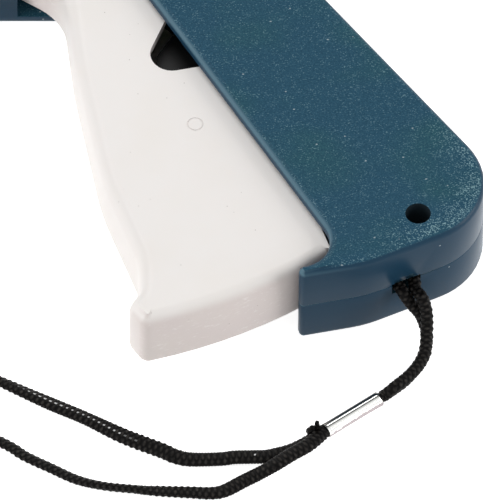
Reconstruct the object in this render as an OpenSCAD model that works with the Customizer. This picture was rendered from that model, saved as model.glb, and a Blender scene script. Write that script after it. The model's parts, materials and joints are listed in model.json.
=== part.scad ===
// Hand-held garment tag attacher: a trigger tool that pushes plastic tag fasteners through a hollow needle.
// It lies on its right side. The muzzle points to -X, the head's top to +Y, and the left side faces up, +Z.

/* [Housing] */
// Thickness of the closed housing, from side face to side face
body_thick = 21; // [17.5:0.5:25.5]
// Wall of each housing half
wall = 2.4; // [2:0.1:2.9]
// Rounding of the housing's side edges
edge_round = 1.4; // [0.8:0.1:1.6]
// Height of the head from its underside to its top
head_height = 37.5; // [36.5:0.5:46]
// Reach of the head in front of the trigger hinge
nose_reach = 62; // [58:0.5:75]
// Reach of the head and its tail behind the trigger hinge
tail_reach = 70; // [66:0.5:84]
// Distance from the handle screw to the trigger hinge
handle_length = 107.5; // [90:0.5:125]
// Direction from the handle screw to the trigger hinge
handle_angle = 134.2; // [132:0.1:136]
// Radius of the handle's rounded heel
heel_radius = 15; // [13:0.5:17]
// Radius of a screw's access hole in the left half
screw_access_r = 2.5; // [2.3:0.1:2.9]

/* [Trigger] */
// Wall of the hollow trigger
trigger_wall = 1.8; // [1.4:0.1:2.2]
// Rounding of the trigger's front edges
trigger_round = 2.8; // [1.5:0.1:3.2]
// Gap between the trigger's sides and the housing walls
side_gap = 0.6; // [0.4:0.1:0.9]
// Travel of the trigger
trigger_travel = 15; // [12:0.5:15]
// Radius of the steel trigger pivot pin
trigger_pin_r = 2.5; // [2:0.1:2.8]
// Radius of the hinge boss of the trigger
hinge_boss_r = 5.2; // [4.8:0.1:5.4]

/* [Drive] */
// Distance from the trigger hinge to the lever pivot
lever_reach = 44.2; // [43:0.1:45]
// Length of the drive lever's lower arm to the drive pin at mid travel
lower_arm = 16; // [15:0.1:17]
// Radius of the steel lever pivot pin
lever_pin_r = 2; // [1.6:0.1:2.2]
// Radius of the drive pin in the trigger
drive_pin_r = 1.8; // [1.5:0.1:2]
// Radius of the cross pin in the carriage
cross_pin_r = 2; // [1.6:0.1:2.2]
// Thickness of the drive lever's arms
lever_thick = 6; // [5:0.5:7]
// Radius of the pusher rod behind its thin tip
rod_r = 1.2; // [1:0.05:1.4]
// Radial clearance of a turning or sliding fit
run_gap = 0.05; // [0.02:0.01:0.09]

/* [Needle and feed] */
// Outer radius of the hollow needle
needle_r = 1.15; // [1.05:0.05:1.4]
// Bore radius of the hollow needle
needle_bore_r = 0.75; // [0.65:0.05:0.85]
// Radius of the needle's round collar
collar_r = 4.5; // [4:0.1:5.2]
// Length of the collar in front of the nose
collar_length = 6; // [5:0.5:8]
// Length of the slot that takes the fastener clip
clip_length = 10; // [9:0.5:12]
// Width of the slot that takes the fastener clip
clip_width = 3.4; // [3:0.1:3.6]
// Number of teeth on the feed wheel
feed_teeth = 8; // [6:1:10]
// Tip radius of the feed wheel
feed_r = 4.4; // [4:0.1:4.6]
// Radius of the clip release button
button_r = 4; // [3.4:0.1:4.6]

/* [Lanyard] */
// Diameter of the lanyard cord
cord_d = 2.4; // [2:0.1:2.4]
// Outer radius of the crimp tube
crimp_r = 1.5; // [1.4:0.05:1.5]

/* [Hidden] */
$fn = 64;

teal = "#2f5366";
off_white = "#ede9e6";
black_plastic = "#17181a";
steel = "#b9bcbf";
black_cord = "#1c1b1b";

// The plan is drawn from the handle screw at [0, 0]; everything else hangs on the trigger hinge.
mid = body_thick / 2;
hinge = handle_length * [cos(handle_angle), sin(handle_angle)];
function from_hinge(radius, angle) = hinge + radius * [cos(angle), sin(angle)];

// The trigger's foot passes clear of the handle screw's boss. It is an arc whose toe end is a little farther from the
// hinge than its back end, so the arc's centre lies foot_shift away from the hinge.
boss_r = 4.3;
low_boss_r = 2.4;
foot_gap = 1.2;
foot_radius = handle_length - boss_r - foot_gap;
foot_front = -76.9;
foot_back = -55.8;
foot_drop = 1.6;
foot_arc_r = foot_radius + foot_drop / 2;
foot_shift = foot_drop / 2 / sin((foot_back - foot_front) / 2);
foot_shift_angle = (foot_front + foot_back) / 2 - 90;
floor_gap = 0.6;
floor_centre = from_hinge(foot_shift, foot_shift_angle + trigger_travel);
floor_radius = foot_arc_r + floor_gap;

// Drive linkage: at mid travel the hinge, lever pivot and drive pin lie on one line.
half_travel = trigger_travel / 2;
link_angle = -37.35;
drive_reach = lever_reach + lower_arm;
lever_pivot = from_hinge(lever_reach, link_angle);
drive_pin_rest = from_hinge(drive_reach, link_angle - half_travel);
drive_pin_far = norm(drive_pin_rest - lever_pivot);
lever_swing = atan(drive_reach * sin(half_travel) / (drive_reach * cos(half_travel) - lever_reach));
rod_line = hinge.y + 10.6;
upper_arm = rod_line - lever_pivot.y;
half_stroke = upper_arm * tan(lever_swing);
stroke = 2 * half_stroke;
cross_pin_x = lever_pivot.x + half_stroke;
slot_play = 0.85;
drive_play = 0.45;

// Layers across the thickness.
trigger_low = wall + side_gap;
trigger_high = body_thick - wall - side_gap;
hub_gap = 0.5;
hub_low = trigger_low + trigger_wall + hub_gap;
hub_high = trigger_high - trigger_wall - hub_gap;
lever_low = mid - lever_thick / 2;
plate_gap = 0.8;
plate_thick = 2;

// Head.
head_top = hinge.y - 13.5 + head_height;
head_under = hinge.y - 13.5;
nose_x = hinge.x - nose_reach;
nose_high = rod_line + 7.4;
nose_low = rod_line - 11.6;
web_end = hinge.x - 3.5;
web_thick = 2;
slot_front = nose_x + 4.6;
slot_back = slot_front + clip_length;
rod_tip_rest = slot_back + 0.5;
needle_tip = rod_tip_rest - stroke - 0.5;
feed_axis_y = rod_line - 6.6;
feed_axis_z = mid - 3.1;

// A corner is [x, y, radius]. An outline runs anticlockwise and is drawn inset by a distance.
function cross2(a, b) = a.x * b.y - a.y * b.x;
function unit(v) = v / norm(v);
function arc_steps(turn, radius) = max(2, ceil(abs(turn) * sqrt(radius) / 28));
function corner_arc(before, corner, after, inset) =
    let (
        way_in = unit([corner.x - before.x, corner.y - before.y]),
        way_out = unit([after.x - corner.x, after.y - corner.y]),
        turn = atan2(cross2(way_in, way_out), way_in * way_out),
        side = turn > 0 ? 1 : -1,
        radius = corner[2],
        start = [corner.x, corner.y] - way_in * radius * tan(abs(turn) / 2),
        outward = side * [way_in.y, -way_in.x],
        centre = start - outward * radius,
        drawn = side > 0 ? max(radius - inset, radius / 4) : radius + inset,
        first = atan2(outward.y, outward.x),
        steps = arc_steps(turn, radius)
    )
    [for (k = [0:steps]) centre + drawn * [cos(first + turn * k / steps), sin(first + turn * k / steps)]];
function outline(corners, inset = 0) =
    let (count = len(corners))
    [for (i = [0:count - 1], point = corner_arc(corners[(i + count - 1) % count], corners[i],
        corners[(i + 1) % count], inset)) point];

// Triangles that fill an outline, cut off one ear at a time.
function covers(a, b, c, p) = cross2(b - a, p - a) > 0 && cross2(c - b, p - b) > 0 && cross2(a - c, p - c) > 0;
function is_ear(points, left, i) =
    let (n = len(left), a = points[left[(i + n - 1) % n]], b = points[left[i]], c = points[left[(i + 1) % n]])
    cross2(b - a, c - b) > 0 && len([for (k = left) if (covers(a, b, c, points[k])) k]) == 0;
function next_ear(points, left, i = 0) = i >= len(left) || is_ear(points, left, i) ? i : next_ear(points, left, i + 1);
function fill(points, left, found = []) =
    len(left) < 3 ? found :
    let (n = len(left), i = next_ear(points, left) % n)
    fill(points, [for (k = [0:n - 1]) if (k != i) left[k]],
        concat(found, [[left[(i + n - 1) % n], left[i], left[(i + 1) % n]]]));

// A slab with an outline whose lower and upper edges are rounded, lofted through inset copies of the outline.
round_steps = 4;
module soft_slab(corners, low, high, low_round, high_round) {
    lower = [for (k = [0:round_steps]) let (a = 90 * k / round_steps)
        [low + low_round * (1 - cos(a)), low_round * (1 - sin(a))]];
    upper = [for (k = [0:round_steps]) let (a = 90 * k / round_steps)
        [high - high_round * (1 - sin(a)), high_round * (1 - cos(a))]];
    levels = concat(lower, upper);
    rings = [for (level = levels) outline(corners, level[1])];
    count = len(rings[0]);
    last = len(levels) - 1;
    points = [for (k = [0:last], point = rings[k]) [point.x, point.y, levels[k][0]]];
    walls = [for (k = [0:last - 1], i = [0:count - 1]) let (j = (i + 1) % count, a = k * count, b = a + count)
        each [[a + i, b + i, b + j], [a + i, b + j, a + j]]];
    floor_face = fill(rings[0], [for (i = [0:count - 1]) i]);
    top_face = [for (face = fill(rings[last], [for (i = [0:count - 1]) i]))
        [for (i = [2:-1:0]) last * count + face[i]]];
    polyhedron(points, concat(walls, floor_face, top_face), convexity = 6);
}

module flat(corners, low, high, inset = 0) {
    translate([0, 0, low]) linear_extrude(high - low) polygon(outline(corners, inset));
}

module disc(at, radius, low, high) {
    translate([at.x, at.y, low]) cylinder(h = high - low, r = radius);
}

// A round bar along X.
module bar(front, back, y, z, radius) {
    translate([front, y, z]) rotate([0, 90, 0]) cylinder(h = back - front, r = radius);
}

// A box given by two opposite corners.
module block(low, high) {
    translate(low) cube(high - low);
}

// Outline of the housing, seen from its left side.
heel = [21.3, 2.6];
handle_front_top = [hinge.x + 17.5, head_under];
handle_front_low = hinge + foot_radius * [0.595, -0.85];
toe_direction = -60.3;
toe_high = from_hinge(foot_radius + 1.5, toe_direction);
toe_low = from_hinge(foot_radius + 3.7, toe_direction - 0.25);
crest = [-10, -12.2];
web_corner = hinge + [46.1, -8.1];
tail_low = hinge + [tail_reach + 1, 3];
tail_high = [hinge.x + tail_reach - 3, head_top];
top_front = [hinge.x - 25, head_top];
nose_top = [nose_x, nose_high];
nose_bottom = [nose_x, nose_low];
under_front = [hinge.x - 41, head_under];
head_corners = [[tail_low.x, tail_low.y, 3.4], [tail_high.x, tail_high.y, 9], [top_front.x, top_front.y, 25],
    [nose_top.x, nose_top.y, 4], [nose_bottom.x, nose_bottom.y, 4], [under_front.x, under_front.y, 15],
    [handle_front_top.x, handle_front_top.y, 7]];
back_corners = [[heel.x, heel.y, heel_radius], [web_corner.x, web_corner.y, 15]];
housing_corners = concat([[toe_low.x, toe_low.y, 1], [crest.x, crest.y, 25]], back_corners, head_corners,
    [[handle_front_low.x, handle_front_low.y, 6.3], [toe_high.x, toe_high.y, 1]]);
cavity_corners = concat([[-12.7, -12.8, 4]], back_corners, head_corners);

// Outline of the trigger without its notch.
foot_middle = from_hinge(foot_arc_r / cos((foot_back - foot_front) / 2), (foot_front + foot_back) / 2);
toe_corner = from_hinge(foot_radius + foot_drop, foot_front) - 2.4 * [cos(foot_front + 90), sin(foot_front + 90)];
foot_heel = from_hinge(foot_radius, foot_back) + 1.5 * [cos(foot_back + 90), sin(foot_back + 90)];
waist = from_hinge(foot_radius - 13.8, -76.7);
flare = from_hinge(foot_radius - 6.7, -77.7);
toe_bulge = from_hinge(foot_radius - 3.6, -79.5);
bow = from_hinge(0.654 * foot_radius, -78.8);
trigger_corners = [
    [hinge.x - hinge_boss_r, hinge.y + hinge_boss_r, hinge_boss_r],
    [hinge.x - hinge_boss_r, hinge.y - 9.7, 2],
    [hinge.x + 5.6, hinge.y - 16.8, 12],
    [hinge.x + 7.8, hinge.y - 37, 60],
    [bow.x, bow.y, 50],
    [waist.x, waist.y, 12],
    [flare.x, flare.y, 4],
    [toe_bulge.x, toe_bulge.y, 2.4],
    [toe_corner.x, toe_corner.y, 2.2],
    [foot_middle.x, foot_middle.y, foot_arc_r],
    [foot_heel.x, foot_heel.y, 1],
    [hinge.x + 44.5, hinge.y - 35.7, 4],
    [hinge.x + 28.2, hinge.y - 20.4, 2],
    [hinge.x + 0.42 * hinge_boss_r, hinge.y + hinge_boss_r, hinge_boss_r]];

// The notch in the trigger's sides lets them pass the lever pivot's bosses.
notch_tip = from_hinge(lever_reach, link_angle - trigger_travel);
notch_r = 4.3;
notch_low_side = 12;
notch_high_side = 68;
notch_point = notch_tip - notch_r / sin((notch_high_side - notch_low_side) / 2)
    * [cos((notch_high_side + notch_low_side) / 2), sin((notch_high_side + notch_low_side) / 2)];
notch_corners = [[notch_point.x, notch_point.y, notch_r],
    [notch_point.x + 40 * cos(notch_low_side), notch_point.y + 40 * sin(notch_low_side), 1],
    [notch_point.x + 30 * cos(notch_high_side), notch_point.y + 30 * sin(notch_high_side), 1]];

// Housing screws: the handle, the tail, the head's front and the top.
screw_spots = [[0, 0], hinge + [tail_reach - 5.5, 5], hinge + [-32, -6.5], hinge + [-26, 18.5]];
screw_seat = 2;
seat_web = 0.7;
screw_shank_r = 1.2;

// Opening of the handle through which the trigger moves, between the side walls.
module trigger_opening(low, high) {
    intersection() {
        disc(floor_centre, floor_radius, low, high);
        translate([0, 0, low]) linear_extrude(high - low) polygon([
            [web_end, head_under - 7], [web_end, head_under + web_thick + 1],
            [handle_front_top.x + 6, head_under + web_thick + 1], handle_front_low + [6, 4],
            handle_front_low + [0, -6], toe_corner + [0, -20], toe_corner + [-40, 20]]);
    }
}

// The underside web is thinner in front of the trigger, which swings close above it.
module web_relief(low, high) {
    block([web_end - 8, head_under + web_thick, low], [web_end + 1, head_under + wall + 1, high]);
}

module clip_slot(low, high) {
    block([slot_front, nose_low - 20, low], [slot_back, head_top + 5, high]);
}

// Way for the lanyard round the handle screw's boss and through the end wall, with a sloping lead-in above it.
lanyard_slot_x = -1.9;
lanyard_slot_y = -9.2;
lanyard_wall_angle = 25.3;
lanyard_slot_width = 6.2;
lanyard_slot_low = mid - 2.6;
lanyard_slot_high = mid + 0.4;
module lanyard_slot() {
    difference() {
        disc([0, 0], anchor_r + bend_r + 0.5, lanyard_slot_low, lanyard_slot_high);
        disc([0, 0], low_boss_r, 0, body_thick);
    }
    translate([lanyard_slot_x, lanyard_slot_y, 0]) rotate([0, 0, lanyard_wall_angle]) {
        block([-lanyard_slot_width / 2, -4, lanyard_slot_low], [lanyard_slot_width / 2, 3.4, lanyard_slot_high]);
        block([-lanyard_slot_width / 2 - 1, 0.8, lanyard_slot_low],
            [lanyard_slot_width / 2 + 3.4, 3.4, lanyard_slot_high]);
        block([-lanyard_slot_width / 2 - 1, 3.3, lanyard_slot_low], [0.5, 5, lanyard_slot_high]);
        hull() {
            block([-lanyard_slot_width / 2 - 0.6, -2.4, mid], [lanyard_slot_width / 2 - 0.6, -1.6, mid + 5.6]);
            block([-lanyard_slot_width / 2 + 0.6, 0.6, mid], [lanyard_slot_width / 2 - 1.6, 0.8, mid + 1.6]);
        }
    }
}

// Rails that carry the carriage's side plates, one above and one below each plate.
carriage_half = 3.2;
rail_gap = 0.3;
rail_width = 1.2;
module rails(low, high) {
    for (side = [-1, 1])
        block([cross_pin_x - stroke - 24.6, rod_line + side * (carriage_half + rail_gap)
                - (side < 0 ? rail_width : 0), low],
            [hinge.x + tail_reach - 9, rod_line + side * (carriage_half + rail_gap)
                + (side > 0 ? rail_width : 0), high]);
}

// Stiffening ribs under the head's top wall.
module top_ribs(low, high) {
    for (k = [0:4])
        block([hinge.x - 10 + 13 * k, rod_line + carriage_half + rail_gap, low],
            [hinge.x - 8.8 + 13 * k, head_top - wall / 2, high]);
}

rail_reach = 3;
rib_reach = 4.2;
half_seam = 0.15;

module left_housing() {
    color(teal) difference() {
        union() {
            difference() {
                soft_slab(housing_corners, mid, body_thick, half_seam, edge_round);
                flat(cavity_corners, mid - 1, body_thick - wall, wall);
            }
            for (spot = screw_spots) {
                disc(spot, boss_r, mid + screw_seat - seat_web, body_thick - wall / 2);
                disc(spot, low_boss_r, mid, mid + screw_seat - seat_web + 0.1);
            }
            disc(lever_pivot, lever_pin_r + 1.7, hub_high + 0.3, body_thick - wall / 2);
            disc(hinge, trigger_pin_r + 1.6, trigger_high + 0.15, body_thick - wall / 2);
            rails(body_thick - wall - rail_reach, body_thick - wall / 2);
            top_ribs(body_thick - wall - rib_reach, body_thick - wall / 2);
            spring_seat(mid, body_thick);
            translate([0, 0, body_thick]) mirror([0, 0, 1]) nose_blocks();
        }
        trigger_opening(mid - 1, body_thick - wall);
        web_relief(mid - 1, body_thick - wall);
        clip_slot(mid - 1, mid + clip_width / 2);
        for (spot = screw_spots) {
            disc(spot, screw_access_r, mid + screw_seat, body_thick + 1);
            disc(spot, screw_shank_r + 0.25, mid - 1, body_thick);
        }
        disc(hinge, trigger_pin_r, mid, body_thick - 1);
        disc(lever_pivot, lever_pin_r, mid, body_thick - 1);
        lanyard_slot();
        nose_cuts();
        disc(lock_pivot, lock_shaft_r + run_gap, mid, body_thick + 1);
        disc(button_spot, button_r + button_gap, mid, body_thick + 1);
        button_pocket();
    }
}

module right_housing() {
    color(teal) difference() {
        union() {
            difference() {
                soft_slab(housing_corners, 0, mid, edge_round, half_seam);
                flat(cavity_corners, wall, mid + 1, wall);
            }
            for (spot = screw_spots)
                disc(spot, low_boss_r, wall / 2, mid);
            disc(lever_pivot, lever_pin_r + 1.7, wall / 2, hub_low - 0.3);
            disc(hinge, trigger_pin_r + 1.6, wall / 2, trigger_low - 0.15);
            rails(wall / 2, wall + rail_reach);
            top_ribs(wall / 2, wall + rib_reach);
            nose_blocks();
            spring_seat(0, mid);
            guide_seat();
            disc(button_spot, button_stem_r + 2.2, wall / 2, button_seat);
        }
        trigger_opening(wall, mid + 1);
        web_relief(wall, mid + 1);
        clip_slot(mid - clip_width / 2, mid + 1);
        for (spot = screw_spots)
            disc(spot, screw_shank_r, 3, mid + 1);
        disc(hinge, trigger_pin_r, 1, mid);
        disc(lever_pivot, lever_pin_r, 1, mid);
        lanyard_slot();
        nose_cuts();
        feed_pocket();
        disc(button_spot, button_stem_r + button_gap, mid - 2, body_thick);
    }
}

// Screws, driven from the left side and sunk deep in their access holes.
module screw() {
    rotate_extrude() polygon([[0, 3.4], [screw_shank_r - 0.5, 3.4], [screw_shank_r, 4.6],
        [screw_shank_r, mid + screw_seat], [2.15, mid + screw_seat], [2.15, mid + screw_seat + 0.9],
        [1.3, mid + screw_seat + 1.6], [0, mid + screw_seat + 1.7]]);
}

module housing_screws() {
    color(steel) for (spot = screw_spots) translate([spot.x, spot.y, 0]) difference() {
        screw();
        for (turn = [0, 90]) rotate([0, 0, turn])
            block([-1.2, -0.25, mid + screw_seat + 0.9], [1.2, 0.25, mid + screw_seat + 2]);
    }
}

// Compression spring between the handle's back wall and a cross rib of the trigger.
spring_angle = 38;
spring_r = 3.9;
spring_wire = 1.1;
spring_turns = 8;
spring_line = from_hinge(72, -50);
back_line_distance = 25.1;
spring_length = 33;
spring_axis = [cos(spring_angle), sin(spring_angle)];
spring_back = spring_line + (back_line_distance - 1.2) * spring_axis;
spring_front = spring_back - spring_length * spring_axis;

module along_spring() {
    translate([spring_back.x, spring_back.y, mid]) rotate([0, 0, spring_angle]) rotate([0, -90, 0]) children();
}

// Round seat and peg that hold the spring's back end. Each half has its share of them.
seat_depth = 2.2;
peg_length = 3;
peg_r = spring_r - spring_wire / 2 - 0.3;
module spring_seat(low, high) {
    reach = 2 * spring_r;
    intersection() {
        along_spring() {
            translate([0, 0, -seat_depth]) cylinder(h = seat_depth, r = spring_r + 1.4);
            cylinder(h = peg_length, r = peg_r);
        }
        block([spring_back.x - reach, spring_back.y - reach, low], [spring_back.x + reach, spring_back.y + reach, high]);
    }
}

module trigger() {
    color(off_white) difference() {
        union() {
            difference() {
                soft_slab(trigger_corners, trigger_low, trigger_high, trigger_round, trigger_round);
                flat(trigger_corners, trigger_low + trigger_wall, trigger_high - trigger_wall, trigger_wall);
                trigger_back_opening();
            }
            disc(hinge, hinge_boss_r - 0.1, trigger_low + 0.2, trigger_high - 0.2);
            trigger_rib();
        }
        flat(notch_corners, trigger_low - 1, trigger_high + 1);
        disc(hinge, trigger_pin_r + run_gap, 0, body_thick);
        disc(drive_pin_rest, drive_pin_r, 0, body_thick);
        ejector_mark();
    }
}

// The back of the trigger is open between its sides.
module trigger_back_opening() {
    intersection() {
        disc(hinge, foot_radius - trigger_wall, trigger_low + trigger_wall, trigger_high - trigger_wall);
        translate([0, 0, trigger_low + trigger_wall]) linear_extrude(trigger_high - trigger_low - 2 * trigger_wall)
            polygon([hinge + [8, 12], hinge + [8, -9], hinge + [14, -40], hinge + [24, -80], hinge + [34, -104],
                hinge + [90, -104], hinge + [90, 12]]);
    }
}

// Cross rib with the peg that holds the return spring's front end.
module trigger_rib() {
    translate([spring_front.x, spring_front.y, mid]) rotate([0, 0, spring_angle]) {
        block([-2, -6, trigger_low + 0.9 - mid], [0, 6, trigger_high - 0.9 - mid]);
        rotate([0, 90, 0]) cylinder(h = peg_length, r = peg_r);
    }
}

// Shallow round mark that an ejector pin leaves on the moulding.
mark_r = 1.65;
module ejector_mark() {
    difference() {
        disc(hinge + [31.5, -52.6], mark_r, trigger_high - 0.15, trigger_high + 1);
        disc(hinge + [31.5, -52.6], mark_r - 0.3, trigger_high - 1, trigger_high + 2);
    }
}

module pin(at, radius, low, high) {
    chamfer = 0.4;
    translate([at.x, at.y, 0]) rotate_extrude() polygon([[0, low], [radius - chamfer, low], [radius, low + chamfer],
        [radius, high - chamfer], [radius - chamfer, high], [0, high]]);
}

module trigger_pivot_pin() {
    color(steel) pin(hinge, trigger_pin_r, 1.1, body_thick - 1.1);
}

module lever_pivot_pin() {
    color(steel) pin(lever_pivot, lever_pin_r, 1.1, body_thick - 1.1);
}

module drive_pin() {
    color(steel) pin(drive_pin_rest, drive_pin_r, trigger_low + 0.2, trigger_high - 0.2);
}

// Bell crank. It is drawn in its mid position and turned back to rest.
hub_r = 6.6;
arm_half = 4.6;
fork_half = 3.6;
lobe_angle = 225;
lobe_reach = 9.6;
lobe_r = 4.4;
module drive_lever() {
    near = upper_arm;
    far = upper_arm / cos(lever_swing);
    color(black_plastic) translate([lever_pivot.x, lever_pivot.y, 0]) rotate([0, 0, -lever_swing]) difference() {
        union() {
            disc([0, 0], hub_r, hub_low, hub_high);
            translate([0, 0, lever_low]) linear_extrude(lever_thick) union() {
                lever_arm([0, 0], hub_r, [0, far], arm_half);
                rotate(link_angle) lever_arm([0, 0], hub_r, [drive_pin_far - 2, 0], fork_half);
                rotate(lobe_angle + lever_swing) lever_arm([0, 0], hub_r, [lobe_reach, 0], lobe_r);
            }
        }
        disc([0, 0], lever_pin_r + run_gap, 0, body_thick);
        lever_slot([0, near - 0.6], [0, far + 0.6], cross_pin_r + slot_play);
        rotate([0, 0, link_angle]) lever_slot([lower_arm - 0.4, 0], [drive_pin_far + 9, 0], drive_pin_r + drive_play);
        for (k = [0, 1]) translate([0, 0, k == 0 ? lever_low - 1 : lever_low + lever_thick - 1.4])
            linear_extrude(2.4) polygon([[-2.6, hub_r + 2], [2.6, hub_r + 2], [2, near - 5], [-2, near - 5]]);
    }
}

module lever_arm(from, from_r, to, to_r) {
    hull() {
        translate(from) circle(r = from_r);
        translate(to) circle(r = to_r);
    }
}

module lever_slot(from, to, radius) {
    disc(from, radius, 0, body_thick);
    disc(to, radius, 0, body_thick);
    way = to - from;
    translate([from.x, from.y, 0]) rotate([0, 0, atan2(way.y, way.x)])
        block([0, -radius, 0], [norm(way), radius, body_thick]);
}

// Carriage: two side plates and a front web, with the cross pin between the plates.
carriage_low = wall + plate_gap;
carriage_high = body_thick - wall - plate_gap;
carriage_web = cross_pin_x - 8.5;
carriage_front = cross_pin_x - 24;
carriage_back = cross_pin_x + 4.6;
module carriage() {
    color(black_plastic) difference() {
        union() {
            for (low = [carriage_low, carriage_high - plate_thick])
                block([carriage_front, rod_line - carriage_half, low],
                    [carriage_back, rod_line + carriage_half, low + plate_thick]);
            block([carriage_front, rod_line - carriage_half, carriage_low],
                [carriage_web, rod_line + carriage_half, carriage_high]);
        }
        disc([cross_pin_x, rod_line], cross_pin_r, 0, body_thick);
        bar(carriage_front - 1, carriage_front + 10, rod_line, mid, rod_r);
        for (k = [0:1]) block([carriage_front + 4 + 6 * k, rod_line + 1.8, carriage_low + 3.2],
            [carriage_front + 8 + 6 * k, rod_line + carriage_half + 1, carriage_high - 3.2]);
    }
}

module cross_pin() {
    color(steel) pin([cross_pin_x, rod_line], cross_pin_r, carriage_low + 0.1, carriage_high - 0.1);
}

rod_neck = rod_tip_rest + stroke + 6;
rod_tip_r = needle_bore_r - 0.15;
module pusher_rod() {
    length = carriage_front + 10 - rod_tip_rest;
    neck = rod_neck - rod_tip_rest;
    color(steel) translate([rod_tip_rest, rod_line, mid]) rotate([0, 90, 0]) rotate_extrude() polygon([[0, 0],
        [rod_tip_r - 0.15, 0], [rod_tip_r, 0.3], [rod_tip_r, neck], [rod_r, neck + 1.5], [rod_r, length],
        [0, length]]);
}

// The guide sits in a pair of ribs and steadies the rod behind its neck.
guide_length = 7;
guide_half = 3;
guide_x = carriage_front - stroke - guide_length - 1.5;
module rod_guide() {
    color(off_white) difference() {
        union() {
            block([guide_x, rod_line - guide_half, mid - guide_half],
                [guide_x + guide_length, rod_line + guide_half, mid + guide_half]);
            block([guide_x + 2.5, rod_line - guide_half - 1.5, mid - guide_half],
                [guide_x + 4.5, rod_line + guide_half + 1.5, mid + guide_half]);
        }
        bar(guide_x - 1, guide_x + guide_length + 1, rod_line, mid, rod_r + 0.1);
    }
}

// Ribs of the right half that hold the rod guide's flange.
module guide_seat() {
    for (front = [guide_x + 1.2, guide_x + 4.7])
        block([front, head_under + wall, wall / 2], [front + 1.1, rod_line - guide_half - 0.2, mid - guide_half]);
}

// Blocks of each half that hold the needle base and line the clip slot.
module nose_blocks() {
    block([nose_x + 1.4, nose_low + 1.6, wall / 2], [slot_front, nose_high - 1.4, mid]);
    block([slot_back, nose_low + 2, wall / 2], [slot_back + nose_block, nose_high, mid]);
}
nose_block = 1.6;

// The base's foot drops into a pocket between the halves; the collar stays outside.
base_foot = slot_front - nose_x - 0.6;
base_half = 3.2;
module needle_base_pocket() {
    block([nose_x + 1.4, rod_line - base_half - 0.05, mid - base_half - 0.05],
        [slot_front - 0.55, rod_line + base_half + 0.05, mid + base_half + 0.05]);
    bar(nose_x - 1, slot_front + 0.1, rod_line, mid, needle_r + 1.1);
}

module needle_base() {
    color(off_white) difference() {
        union() {
            translate([nose_x - collar_length, rod_line, mid]) rotate([0, 90, 0]) rotate_extrude() polygon([
                [0, 0], [2.4, 0], [2.8, 0.6], [3, 2.6], [collar_r - 0.6, 2.6], [collar_r, 3.2],
                [collar_r, collar_length - 0.1], [0, collar_length - 0.1]]);
            bar(nose_x - 0.2, nose_x + 1.5, rod_line, mid, needle_r + 1);
            block([nose_x + 1.45, rod_line - base_half, mid - base_half],
                [slot_front - 0.6, rod_line + base_half, mid + base_half]);
        }
        bar(nose_x - collar_length - 1, slot_front + 1, rod_line, mid, needle_r);
        disc([lock_pivot.x, lock_pivot.y], lock_cam_r + 0.3, mid - 5, mid + 5);
    }
}

// Hollow needle with its slanted point and the slot for the fastener's filament.
module needle() {
    back = slot_front - 0.6;
    color(steel) difference() {
        bar(needle_tip, back, rod_line, mid, needle_r);
        bar(needle_tip - 1, back + 1, rod_line, mid, needle_bore_r);
        block([needle_tip - 1, rod_line, mid - 0.35], [back + 1, rod_line + needle_r + 1, mid + 0.35]);
        translate([needle_tip, rod_line + needle_r, mid]) rotate([0, 0, 24])
            block([-9, 0, -3], [12, 6, 3]);
    }
}

// Thumb lever whose cam shaft locks the needle base.
lock_pivot = [nose_x + 2.9, rod_line + base_half + 0.9];
lock_shaft_r = 1.5;
lock_cam_r = 1.5;
lock_gap = 0.3;
lock_hub_r = 3;
lock_length = 13;
lock_thick = 1.8;
lock_angle = -14;
module needle_lock_lever() {
    face = body_thick + lock_gap;
    color(black_plastic) difference() {
        union() {
            disc(lock_pivot, lock_shaft_r, mid + 0.6, face + 0.1);
            translate([lock_pivot.x, lock_pivot.y, face]) {
                cylinder(h = lock_thick + 0.4, r = lock_hub_r);
                linear_extrude(lock_thick) rotate(lock_angle) hull() {
                    circle(r = lock_hub_r - 0.3);
                    translate([lock_length, 0]) circle(r = 1.9);
                }
                rotate([0, 0, lock_angle]) for (k = [0:3]) translate([9 + 1.4 * k, 0, lock_thick - 0.1])
                    rotate([90, 0, 0]) cylinder(h = 2.8, r = 0.45, center = true);
            }
        }
        lock_flat();
    }
}

// Flat on the shaft: a quarter turn of the lever brings it beside the needle base's foot and lets the base out.
module lock_flat() {
    block([lock_pivot.x - lock_shaft_r - 1, lock_pivot.y - lock_shaft_r - 1, mid],
        [lock_pivot.x - 0.85, lock_pivot.y + lock_shaft_r + 1, mid + base_half + 0.2]);
}

module lock_lever_washer() {
    color(steel) difference() {
        disc(lock_pivot, lock_hub_r - 0.2, body_thick, body_thick + lock_gap);
        disc(lock_pivot, lock_shaft_r + run_gap, mid, body_thick + 1);
    }
}

// Guide that lines the clip slot's right wall above the rod.
module clip_guide() {
    color(off_white) difference() {
        block([slot_back + 1.8, rod_line + 2.6, mid - 3.4], [slot_back + 3.2, nose_high - 0.4, mid + 3.4]);
        bar(slot_back, slot_back + 5, rod_line + 4.4, mid, 1);
    }
}

// Blade that cuts the fastener from its clip. It stands in a pocket of the clip slot's front wall.
knife_thick = 0.5;
knife_gap = 0.05;
module knife_shape(gap) {
    offset(delta = gap) polygon([[-7.6, -1.4], [-3.9, -1.4], [-2.6, 1.4], [-7.6, 1.4]]);
}

module knife_blade() {
    color(steel) translate([slot_front - knife_thick - knife_gap, rod_line, mid]) rotate([90, 0, 90])
        linear_extrude(knife_thick) knife_shape(0);
}

module knife_pocket() {
    translate([slot_front - knife_thick - 2 * knife_gap, rod_line, mid]) rotate([90, 0, 90])
        linear_extrude(knife_thick + 1) knife_shape(knife_gap);
}

// Everything that is cut out of both nose blocks: the needle base, the knife and the rod's thin tip.
module nose_cuts() {
    needle_base_pocket();
    knife_pocket();
    bar(slot_back - 1, slot_back + nose_block + 1, rod_line, mid, rod_tip_r + run_gap);
}

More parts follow.
